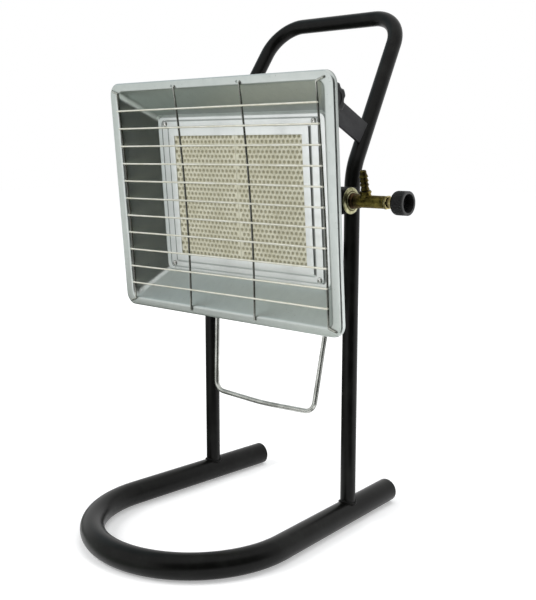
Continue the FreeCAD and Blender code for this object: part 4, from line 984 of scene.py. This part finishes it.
def bow_guard(mesh, painted_reflection=0.0):
    """The wires sag inwards a little between their hooks, and away from their hooks they get a painted dark
    reflection.
    """
    shape = bmesh.new()
    shape.from_mesh(mesh)
    for level in range(-BOW_REACH, BOW_REACH + 1, BOW_STEP):
        bmesh.ops.bisect_plane(shape, geom=shape.verts[:] + shape.edges[:] + shape.faces[:],
                               plane_co=(0, 0, level), plane_no=(0, 0, 1))
    darkened = shape.verts.layers.float.new("fold_grime")
    for vert in shape.verts:
        vert[darkened] = painted_reflection if abs(vert.co.z) < PAINTED_REFLECTION_REACH else 0.0
        middle = 1 - (vert.co.z / MIDDLE_HOOK_UP) ** 2
        bow = BOW_AT_ENDS + BOW_MORE_AMID * (1 - (vert.co.x / GUARD_HALF) ** 2)
        vert.co.y += bow * max(0.0, middle)
    shape.to_mesh(mesh)
    shape.free()
    mesh.transform(GUARD)


def make_uprights():
    """Four upright wires hooked into the flange; the outer two turn into its corners."""
    tail, hook = UPRIGHT_BACK + HOOK_LENGTH, HOOK_BEND
    lines = []
    for x in GUARD_MIDDLE:
        z = MIDDLE_HOOK_UP
        lines.append([((x, tail, z), 0), ((x, UPRIGHT_BACK, z), hook),
                      ((x, UPRIGHT_BACK, -z), hook), ((x, tail, -z), 0)])
    for side in (1, -1):
        x, z, span, start = side * CORNER_HOOK[0], CORNER_HOOK[1], side * GUARD_HALF, CORNER_TURN_UP
        lines.append([((x, tail, z), 0), ((x, UPRIGHT_BACK, z), hook),
                      ((span, UPRIGHT_BACK, start), CORNER_BEND), ((span, UPRIGHT_BACK, -start), CORNER_BEND),
                      ((x, UPRIGHT_BACK, -z), hook), ((x, tail, -z), 0)])
    mesh = bent_rod("guard_uprights_bent", lines, IN_PLACE, UPRIGHT_RADIUS, "upright_steel", 14, 6)
    # the uprights get a painted dark reflection between their hooks
    bow_guard(mesh, UPRIGHT_PAINTED_REFLECTION)
    add_piece(mesh, "head", "guard_steel", "guard_upright_wires")


def cross_tree():
    """Straight wires one above the other, and a weld at each upright."""
    graph, given = new_tree("cross_wires", Half_span="Float", Radius="Float", Pitch="Float", Rows="Int",
                            Weld="Float", Finish="Material")
    span, radius, pitch, rows = (given.out(name) for name in ("Half span", "Radius", "Pitch", "Rows"))
    line = graph.node("GeometryNodeCurvePrimitiveLine", None, {
        "Start": graph.node("ShaderNodeCombineXYZ", None, {"X": 0 - span}),
        "End": graph.node("ShaderNodeCombineXYZ", None, {"X": span})})
    parted = graph.node("GeometryNodeResampleCurve", {"mode": "COUNT"}, {"Curve": line, "Count": 40})
    ring = graph.node("GeometryNodeCurvePrimitiveCircle", None, {"Resolution": 14, "Radius": radius})
    wire = graph.node("GeometryNodeCurveToMesh", None,
                      {"Curve": parted, "Profile Curve": ring, "Fill Caps": True})
    column = graph.node("GeometryNodeMeshLine", {"mode": "OFFSET"}, {
        "Count": rows,
        "Start Location": graph.node("ShaderNodeCombineXYZ", None, {"Z": pitch * (1 - rows) * 0.5}),
        "Offset": graph.node("ShaderNodeCombineXYZ", None, {"Z": pitch})})
    wires = graph.node("GeometryNodeInstanceOnPoints", None, {"Points": column, "Instance": wire})
    blob = graph.node("GeometryNodeMeshIcoSphere", None, {"Radius": given.out("Weld"), "Subdivisions": 2})
    welds = graph.node("GeometryNodeInstanceOnPoints", None, {
        "Points": given.out("Geometry"), "Instance": blob, "Scale": (1.25, 1.0, 0.85)})
    return close_tree(graph, joined(graph, wires, welds), given)


def make_cross_wires():
    """Eleven cross wires welded on the front of the uprights."""
    spots = bpy.data.meshes.new("guard_weld_spots")
    rows = [GUARD_PITCH * (row - (GUARD_ROWS - 1) / 2) for row in range(GUARD_ROWS)]
    spots.from_pydata([(x, WELD_SINK * CROSS_RADIUS, z) for x in (-GUARD_HALF, *GUARD_MIDDLE, GUARD_HALF)
                       for z in rows], [], [])
    mesh = grown(spots, "guard_cross_welded", cross_tree(), "guard_steel",
                 Half_span=GUARD_HALF + WIRE_OVERHANG, Radius=CROSS_RADIUS, Pitch=GUARD_PITCH,
                 Rows=GUARD_ROWS, Weld=GUARD_WELD)
    mesh.transform(Matrix.Translation((0, CROSS_BACK, 0)))
    bow_guard(mesh)
    dress(mesh, "guard_steel", 50)
    add_piece(mesh, "head", "guard_steel", "guard_cross_wires")


make_uprights()
make_cross_wires()


# The wire bail

BAIL_TOP, BAIL_LOW, BAIL_DROP = 88.7, 73.6, 177.3
BAIL_EYE, BAIL_CORNER = 5.0, 13.0
BAIL_SAG, BAIL_SAG_RADIUS = 3.0, 500.0
BAIL_WIRE, BAIL_PIN = 2.75, 2.2
WIRE_END, PIN_END, PIN_START = 5.4, 12, 4


def make_bail():
    """Wire loop with its ends turned into the lugs."""
    right = [((BAIL_TOP - WIRE_END, 0, 0), 0), ((BAIL_TOP, 0, 0), BAIL_EYE),
             ((BAIL_LOW, 0, -BAIL_DROP), BAIL_CORNER)]
    line = right + [((0, 0, -BAIL_DROP - BAIL_SAG), BAIL_SAG_RADIUS)] + mirrored(right)
    pins = [[((side * (BAIL_TOP - PIN_END), 0, 0), 0), ((side * (BAIL_TOP - PIN_START), 0, 0), 0)]
            for side in (1, -1)]
    shape = bmesh.new()
    shape.from_mesh(bent_rod("bail_loop", [line], BAIL, BAIL_WIRE, "bail_steel", 24, 10))
    shape.from_mesh(bent_rod("bail_pins", pins, BAIL, BAIL_PIN, "bail_steel", 24, 1))
    mesh = finished("bail_bent", shape, IN_PLACE, "bail_steel", 50)
    add_piece(mesh, "bail", "bail_steel", "bail")


make_bail()


# Sheet and bar pieces with eased edges

EASED_EDGE = {
    "strap_left": 0.6, "strap_right": 0.6, "ear_left": 0.5, "ear_right": 0.5, "burner_box": 0.45,
    "injector_bracket": 0.5, "bail_lug_left": 0.4, "bail_lug_right": 0.4, "clamp_bolt_left": 0.4,
    "clamp_bolt_right": 0.4, "clamp_spacer_left": 0.5, "clamp_spacer_right": 0.5, "clamp_washer_left": 0.3,
    "clamp_washer_right": 0.3, "injector_nozzle": 0.3, "mixing_tube": 0.3, "baffle_tray": 0.3,
}


def ease_edges(node_name, width):
    """The piece's own shape with its sharp edges rounded."""
    shape = bmesh.new()
    shape.from_mesh(NODES[node_name].data)
    bmesh.ops.remove_doubles(shape, verts=shape.verts, dist=1e-6)
    bmesh.ops.dissolve_limit(shape, angle_limit=math.radians(1), verts=shape.verts, edges=shape.edges)
    finish = NODE_FINISH[node_name]
    made = evaluated(to_mesh(f"{node_name}_plain", shape), f"{node_name}_eased", [("BEVEL", {
        "width": width * MM, "segments": 3, "limit_method": "ANGLE", "angle_limit": math.radians(30),
        "use_clamp_overlap": False}, {})])
    dress(made, finish, 30)
    add_piece(made, body_of(node_name), SLOT_OF.get(finish, finish), node_name)


PRESSING_UP = 8


def make_box_pressing():
    """Stiffening panel pressed in the back of the burner box."""
    stations = [(70, 47, 11, 42.4), (70, 47, 11, 43.0), (68.4, 45.4, 10, 44.6), (61.6, 38.6, 8, 44.6),
                (60, 37, 7, 43.2), (6, 4, 2, 43.2)]
    rings = []
    for half_width, half_height, radius, back in rounded_profile(stations, (0.3, 0.9, 0.9, 0.9)):
        loop = rounded_loop(half_width, half_height, radius, 6)
        rings.append([(x, back, z + PRESSING_UP) for x, z in loop])
    mesh = finished("box_back_pressing", skin(rings, True, True), FACE, "burner_sheet", 40)
    add_piece(mesh, "head", "burner_sheet")


for node_name, width in EASED_EDGE.items():
    ease_edges(node_name, width)
make_box_pressing()


# Screws and rivets

def fastener_tree():
    """One head on every point, turned by the point's own angles."""
    graph, given = new_tree("fasteners", Head="Object", Finish="Material")
    turn = graph.node("GeometryNodeInputNamedAttribute", {"data_type": "FLOAT_VECTOR"}, {"Name": "turn"})
    way = graph.node("FunctionNodeEulerToRotation", None, {"Euler": turn})
    head = graph.node("GeometryNodeObjectInfo", None, {"Object": given.out("Head")}).out("Geometry")
    heads = graph.node("GeometryNodeInstanceOnPoints", None, {
        "Points": given.out("Geometry"), "Instance": head, "Rotation": way})
    return close_tree(graph, heads, given)


FASTENER_TREE = fastener_tree()


def set_fasteners(name, head, spots, node_name):
    """Heads in the face frame; each spot is a place and its turn."""
    points = bpy.data.meshes.new(f"{name}_spots")
    points.from_pydata([place for place, turn in spots], [], [])
    held = points.attributes.new("turn", "FLOAT_VECTOR", "POINT")
    held.data.foreach_set("vector", [angle for place, turn in spots for angle in turn])
    pattern = template(head)
    mesh = grown(points, name, FASTENER_TREE, "fastener_steel", Head=pattern)
    bpy.data.objects.remove(pattern)
    mesh.transform(FACE)
    dress(mesh, "fastener_steel", 40)
    add_piece(mesh, "head", "fastener_steel", node_name)


HEAD_SIDES = 32
RECESS_ARM, RECESS_HALF = 1.7, 0.4


def screw_head():
    """Pan head with a cross recess, and its stem."""
    profile = round_stations((-6.5, 1.2), (-6.0, 1.9), (0.0, 1.9), (0.0, 3.2), (0.7, 3.2), (1.5, 2.8),
                             (2.0, 1.9), (2.2, 0.5))
    shape = skin(turned(profile, HEAD_SIDES), True, True)
    # painted shade under the head and at its edge, and a little in its middle
    tone_rings(shape, "fold_grime", (0, 0, 1.0, 1.0, 0.5, 0, 0, 0.3), HEAD_SIDES)
    mesh = finished("screw_round", shape, IN_PLACE, "fastener_steel")
    cross = [(RECESS_ARM, RECESS_HALF), (RECESS_HALF, RECESS_HALF), (RECESS_HALF, RECESS_ARM)]
    for quarter in range(3):
        cross += [(-up, across) for across, up in cross[-3:]]
    rings = [[(along, across * share, up * share) for across, up in cross]
             for along, share in ((1.0, 0.6), (2.6, 1.1))]
    shape = skin(rings, True, True)
    # the cross recess is painted dark as shade
    tone_rings(shape, "fold_grime", (1.0, 1.0), len(cross))
    bit = template(finished("cross_recess", shape, IN_PLACE, "fastener_steel"))
    made = evaluated(mesh, "screw_head", [cut_by(bit)])
    bpy.data.objects.remove(bit)
    return made


def rivet_head():
    """Domed rivet with its stem."""
    profile = round_stations((-3.2, 1.4), (-3.0, 2.0), (0.0, 2.0), (0.0, 3.4), (0.25, 3.5), (0.7, 3.2),
                             (1.1, 2.5), (1.35, 1.5), (1.4, 0.4))
    return finished("rivet_head", skin(turned(profile, HEAD_SIDES), True, True), IN_PLACE, "fastener_steel")


SCREW_OUT, SCREW_BACK, SCREW_UP = 107.0, 0.5, 79.0
SCREW_ROLLS = {(1, 1): 0.35, (1, -1): 1.0, (-1, 1): 0.1, (-1, -1): 0.7}
RIVET_OUT = 97.0
EAR_RIVET_BACK, EAR_RIVETS_UP = 23.0, (38.0, 60.0)
BRACKET_RIVET_BACK, BRACKET_RIVETS_UP = 29.0, (16.7, -19.3)


def make_fasteners():
    """Screws in the frame's corners, rivets in the ears and in the valve's bracket."""
    screws = [((SCREW_OUT * side, SCREW_BACK, SCREW_UP * end), (roll, 0, -math.pi / 2))
              for (side, end), roll in SCREW_ROLLS.items()]
    set_fasteners("frame_screws_set", screw_head(), screws, "tile_frame_screws")
    ears = [((RIVET_OUT * side, EAR_RIVET_BACK, up), (0, 0, turn))
            for side, turn in ((1, 0), (-1, math.pi)) for up in EAR_RIVETS_UP]
    set_fasteners("ear_rivets_set", rivet_head(), ears, "ear_rivets")
    strip = [((RIVET_OUT, BRACKET_RIVET_BACK, up), (0, 0, 0)) for up in BRACKET_RIVETS_UP]
    set_fasteners("bracket_rivets_set", rivet_head(), strip, "bracket_rivets")


make_fasteners()


# The gas valve

BARB_OUT, BARB_LEAN = 146.4, math.radians(8.7)
BARB = (VALVE @ Matrix.Translation((BARB_OUT, 0, 0)) @ Matrix.Rotation(BARB_LEAN, 4, "X")
        @ Matrix.Rotation(-math.pi / 2, 4, "Y"))


def lathe_piece(name, profile, place, finish, node_name, tones=None, sides=48):
    """Closed turned piece; the profile runs from its bore round to its bore."""
    shape = skin(turned(profile, sides), closed_rows=True)
    if tones:
        tone_rings(shape, "groove_tarnish", tones, sides)
    mesh = finished(name, shape, place, finish, 38)
    add_piece(mesh, body_of(node_name), SLOT_OF.get(finish, finish), node_name)


def make_valve_washer():
    """Dished plate washer with a groove and a raised inner ring."""
    lathe_piece("valve_washer_dished", round_stations(
        (128.2, 5.1), (128.2, 9.1), (127.0, 12.9), (127.1, 13.25), (127.6, 13.4), (128.1, 13.2),
        (128.4, 12.7), (129.1, 10.4), (129.1, 10.0), (128.7, 9.7), (128.6, 9.4), (128.8, 9.1), (129.7, 8.9),
        (130.0, 8.6), (130.0, 8.2), (129.6, 7.8), (129.4, 5.1)), VALVE, "washer_plated", "valve_washer",
        (0, 0, 0, 0, 0, 0, 0, 0.1, 0.35, 0.8, 1.0, 0.9, 0.1, 0, 0, 0.6, 0.6), 64)


def make_valve_collar():
    """Lock collar with turned rings."""
    lathe_piece("valve_collar_ringed", round_stations(
        (129.4, 5.1), (129.4, 7.0), (129.7, 7.6), (130.2, 7.75), (130.5, 7.3), (130.7, 7.3), (131.0, 7.75),
        (131.4, 7.75), (131.7, 7.3), (131.9, 7.3), (132.2, 7.75), (132.8, 7.7), (133.4, 7.2), (133.4, 5.1)),
        VALVE, "collar_bronze", "valve_collar", (0, 0, 0, 0, 0.6, 0.6, 0, 0, 0.6, 0.6, 0, 0, 0.3, 0.3), 64)


def make_valve_body():
    """Turned body with a shoulder by the collar and a boss for the barb."""
    profile = round_stations(
        (120.8, 2.0), (120.8, 4.6), (121.2, 5.0), (133.4, 5.0), (133.4, 6.7), (133.8, 7.1), (134.6, 7.2),
        (134.9, 6.8), (135.2, 7.2), (136.2, 7.2), (136.5, 6.8), (136.8, 7.2), (138.2, 7.1), (138.9, 6.5),
        (139.8, 6.3), (166.6, 6.3), (166.9, 6.0), (167.3, 6.0), (167.6, 6.3), (168.8, 6.3), (169.4, 5.8),
        (169.4, 3.05), (152.0, 3.05), (149.0, 2.0))
    tones = [0.0] * 4 + [0.75] * 9 + [0.5, 0.0, 0.0, 0.6, 0.6] + [0.0] * 6
    sides = 56
    shape = skin(turned(profile, sides), closed_rows=True)
    tone_rings(shape, "groove_tarnish", tones, sides)
    boss = round_stations((0.5, 4.6), (4.0, 5.6), (6.2, 5.6), (6.6, 5.25), (7.6, 5.25), (8.2, 4.8))
    boss_rings = [[BARB @ Vector(spot) for spot in ring] for ring in turned(boss, 40)]
    into_valve = VALVE.inverted()
    skin([[into_valve @ spot for spot in ring] for ring in boss_rings], True, True, shape=shape)
    mesh = finished("valve_body_turned", shape, VALVE, "valve_brass", 38)
    add_piece(mesh, "head", "valve_brass", "valve_body")


RIDGES, RIDGE_START, RIDGE_PITCH = 4, 11.7, 4.2


def make_hose_barb():
    """Hexagon foot and four sharp ridges for the hose."""
    flats = 10.5
    profile = round_stations((4.5, 1.8), (4.5, 3.3), (8.2, 3.3))
    profile += [(8.2, 5.5, flats), (8.6, 6.0, flats), (10.2, 6.0, flats), (10.7, 5.4, flats)]
    profile += round_stations((10.7, 3.4))
    tones = [0, 0, 0, 0, 0, 0, 0.3, 1.0]
    for ridge in range(RIDGES):
        foot = RIDGE_START + RIDGE_PITCH * ridge
        profile += round_stations((foot, 3.4), (foot + 0.1, 4.4), (foot + 0.4, 4.5), (foot + 0.8, 4.35),
                                  (foot + 3.8, 3.4))
        tones += [1.0, 0.1, 0.0, 0.0, 0.9]
    profile += round_stations((30.6, 3.2), (31.1, 2.7), (31.1, 2.0), (30.8, 1.8))
    tones += [0.3, 0.0, 0.0, 0.8]
    lathe_piece("hose_barb_ridged", profile, BARB, "valve_brass", "hose_barb", tones)


def make_packing_nut():
    """Hexagon nut with chamfered corners and a round nose."""
    flats = 12.6
    profile = [(169.4, 3.05, ROUND), (169.4, 6.2, flats), (170.0, 7.2, flats), (172.1, 7.25, flats),
               (172.4, 7.05, flats), (172.9, 6.2, flats)]
    profile += round_stations((172.9, 5.3), (172.6, 4.7), (177.6, 4.5), (178.2, 4.1), (178.4, 3.6),
                              (178.4, 3.05))
    lathe_piece("packing_nut_hexagon", profile, VALVE, "nut_brass", "packing_nut",
                (0, 0.8, 0.75, 0.55, 0.1, 0, 0.4, 1.0, 0.35, 0.1, 0, 0))


KNOB_RIBS, POINTS_PER_RIB = 36, 6
KNOB_SHOULDER, SHOULDER_ALONG, SHOULDER_OUT = 4, 184, 7.75


def rib_reach(angle, radius, groove):
    """Radius of the ribbed grip at an angle."""
    return radius - groove * max(0.0, math.cos(KNOB_RIBS * angle))


def make_valve_knob():
    """Moulded knob with ribs round its grip and a cup in its outer end."""
    stations = [(185.9, 3.0, 0, 0), (180.0, 3.0, 0, 0)]
    for step in range(7):
        angle = math.radians(15 * step)
        stations.append((SHOULDER_ALONG - KNOB_SHOULDER * math.cos(angle),
                         SHOULDER_OUT + KNOB_SHOULDER * math.sin(angle), 0, 0))
    stations += [(184.8, 11.75, 0, 0), (185.5, 11.75, 0.45, 0), (192.8, 11.75, 0.45, 0), (193.5, 11.75, 0, 0),
                 (194.9, 11.75, 0, 0.1), (195.3, 11.6, 0, 0.5), (195.5, 11.2, 0, 0.6), (195.5, 9.7, 0, 0.6),
                 (195.3, 9.25, 0, 0.7), (194.8, 9.1, 0, 0.1), (188.1, 8.9, 0, 0), (187.5, 8.4, 0, 0),
                 (187.5, 4.3, 0, 0), (188.5, 4.1, 0, 0), (188.8, 3.7, 0, 0), (188.8, 0.5, 0, 0)]
    sides = KNOB_RIBS * POINTS_PER_RIB
    rings = [ring_round(along, sides, lambda angle: rib_reach(angle, radius, groove))
             for along, radius, groove, wear_and_highlight in stations]
    shape = skin(rings, True, True)
    # each station's last value lightens the rim: partly wear, partly a painted highlight
    tone_rings(shape, "edge_wear", [wear_and_highlight for along, radius, groove, wear_and_highlight in stations], sides)
    mesh = finished("valve_knob_ribbed", shape, VALVE, "black_plastic", 45)
    add_piece(mesh, "valve_control", "black_plastic", "valve_knob")


make_valve_washer()
make_valve_collar()
make_valve_body()
make_hose_barb()
make_packing_nut()
make_valve_knob()


# The clamp knobs

LOBE_RADIUS, LOBE_SOFTNESS = 15.5, 0.35
SCALLOP_OUT, SCALLOP_RADIUS, SCALLOP_TURN = 19.3, 6.0, 48.0


def lobe_reach(angle):
    """Radius of the lobed grip at an angle, with its corners softened."""
    off = math.radians((math.degrees(angle) - SCALLOP_TURN + 30) % 60 - 30)
    side = SCALLOP_OUT * math.sin(off)
    if abs(side) >= SCALLOP_RADIUS:
        return LOBE_RADIUS
    dip = SCALLOP_OUT * math.cos(off) - math.sqrt(SCALLOP_RADIUS ** 2 - side ** 2)
    return LOBE_RADIUS - LOBE_SOFTNESS * math.log(1 + math.exp((LOBE_RADIUS - dip) / LOBE_SOFTNESS))


def make_clamp_knobs():
    """Six-lobed hand knobs on round hubs, with a dished face."""
    sides = 120
    hub = turned(round_stations((117.0, 3.1), (107.2, 3.1), (106.9, 3.6), (106.9, 8.6), (107.3, 9.0),
                                (110.4, 9.0)), sides)
    grip = [(110.4, 3.0, 0), (110.4, 0.9, 0), (110.7, 0.3, 0), (111.2, 0.0, 0), (118.9, 0.0, 0),
            (119.8, 0.25, 0.1), (120.5, 0.8, 0.2), (120.9, 1.8, 0.15), (120.9, 3.6, 0)]
    lobes = [ring_round(along, sides, lambda angle: lobe_reach(angle) - inset) for along, inset, wear_and_highlight in grip]
    face = turned(round_stations((120.9, 8.6), (120.4, 8.2), (120.2, 7.6), (120.2, 5.0), (120.5, 4.6),
                                 (120.6, 0.5)), sides)
    # the grip's last value lightens the lobes' outer edges: partly wear, partly a painted highlight
    wear = [0.0] * len(hub) + [wear_and_highlight for along, inset, wear_and_highlight in grip] + [0.0] * len(face)
    for hand, turn in (("left", math.pi), ("right", 0.0)):
        shape = skin(hub + lobes + face, True, True)
        tone_rings(shape, "edge_wear", wear, sides)
        name = f"clamp_knob_{hand}"
        mesh = finished(f"{name}_lobed", shape, PIVOT @ Matrix.Rotation(turn, 4, "Z"), "black_plastic", 38)
        add_piece(mesh, name, "black_plastic", name)


make_clamp_knobs()


# Plugs and welds of the stand

def make_end_plugs():
    """Push-in plugs with a domed cap and a moulding dimple."""
    shape = bmesh.new()
    rings = turned(round_stations(
        (-12.0, 10.8), (-11.4, 11.4), (0.0, 11.4), (0.0, 12.7), (0.15, 13.0), (0.9, 13.0), (1.2, 12.8),
        (1.35, 12.5), (2.2, 11.0), (2.9, 9.0), (3.4, 6.0), (3.6, 3.0), (3.6, 2.2), (3.4, 1.8),
        (3.4, 0.5)), 56)
    for side in (1, -1):
        end = Matrix.Translation((side * LEG_END, LEG_REAR, TUBE_RADIUS))
        turn = end @ Matrix.Rotation(math.pi / 2 + side * LEG_LEAN, 4, "Z")
        skin([[turn @ Vector(spot) for spot in ring] for ring in rings], True, True, shape=shape)
    mesh = finished("end_plugs_domed", shape, TO_METRES, "black_plastic", 38)
    add_piece(mesh, "stand", "black_plastic", "base_end_plugs")


def weld_tree():
    """Bead along a closed line, with the ripples of the weld pool."""
    graph, given = new_tree("weld_bead", Bead="Float", Ripple="Float", Finish="Material")
    line = graph.node("GeometryNodeMeshToCurve", None, {"Mesh": given.out("Geometry")})
    bead = given.out("Bead")
    ring = graph.node("GeometryNodeCurvePrimitiveCircle", None, {"Resolution": 16, "Radius": bead})
    seam = graph.node("GeometryNodeCurveToMesh", None, {"Curve": line, "Profile Curve": ring})
    spots = graph.node("GeometryNodeCurveToPoints", {"mode": "LENGTH"},
                       {"Curve": line, "Length": given.out("Ripple")})
    drop = graph.node("GeometryNodeMeshIcoSphere", None, {"Radius": bead, "Subdivisions": 2})
    ripples = graph.node("GeometryNodeInstanceOnPoints", None, {
        "Points": spots, "Instance": drop, "Rotation": spots.out("Rotation"), "Scale": (1.16, 1.16, 0.62)})
    return close_tree(graph, joined(graph, seam, ripples), given)


WELD_BEAD, WELD_RIPPLE = 1.4, 1.5
WELD_OUT, WELD_UP = POST_RADIUS + 0.3, 0.2


def make_post_welds():
    """Weld beads round the posts, which follow the top of the floor tube."""
    count = 72
    points, edges = [], []
    for side in (1, -1):
        first = len(points)
        for step in range(count):
            angle = 2 * math.pi * step / count
            x, y = WELD_OUT * math.cos(angle), WELD_OUT * math.sin(angle)
            off = x * math.cos(LEG_LEAN) + side * y * math.sin(LEG_LEAN)
            top = TUBE_RADIUS + math.sqrt(TUBE_RADIUS ** 2 - off ** 2)
            points.append((side * POST_X + x, y, top + WELD_UP))
            edges.append((first + step, first + (step + 1) % count))
    line = bpy.data.meshes.new("post_weld_line")
    line.from_pydata(points, edges, [])
    mesh = grown(line, "post_welds_rippled", weld_tree(), "stand_paint", Bead=WELD_BEAD, Ripple=WELD_RIPPLE)
    mesh.transform(TO_METRES)
    dress(mesh, "stand_paint", 60)
    add_piece(mesh, "stand", "stand_paint", "post_welds")


make_end_plugs()
make_post_welds()
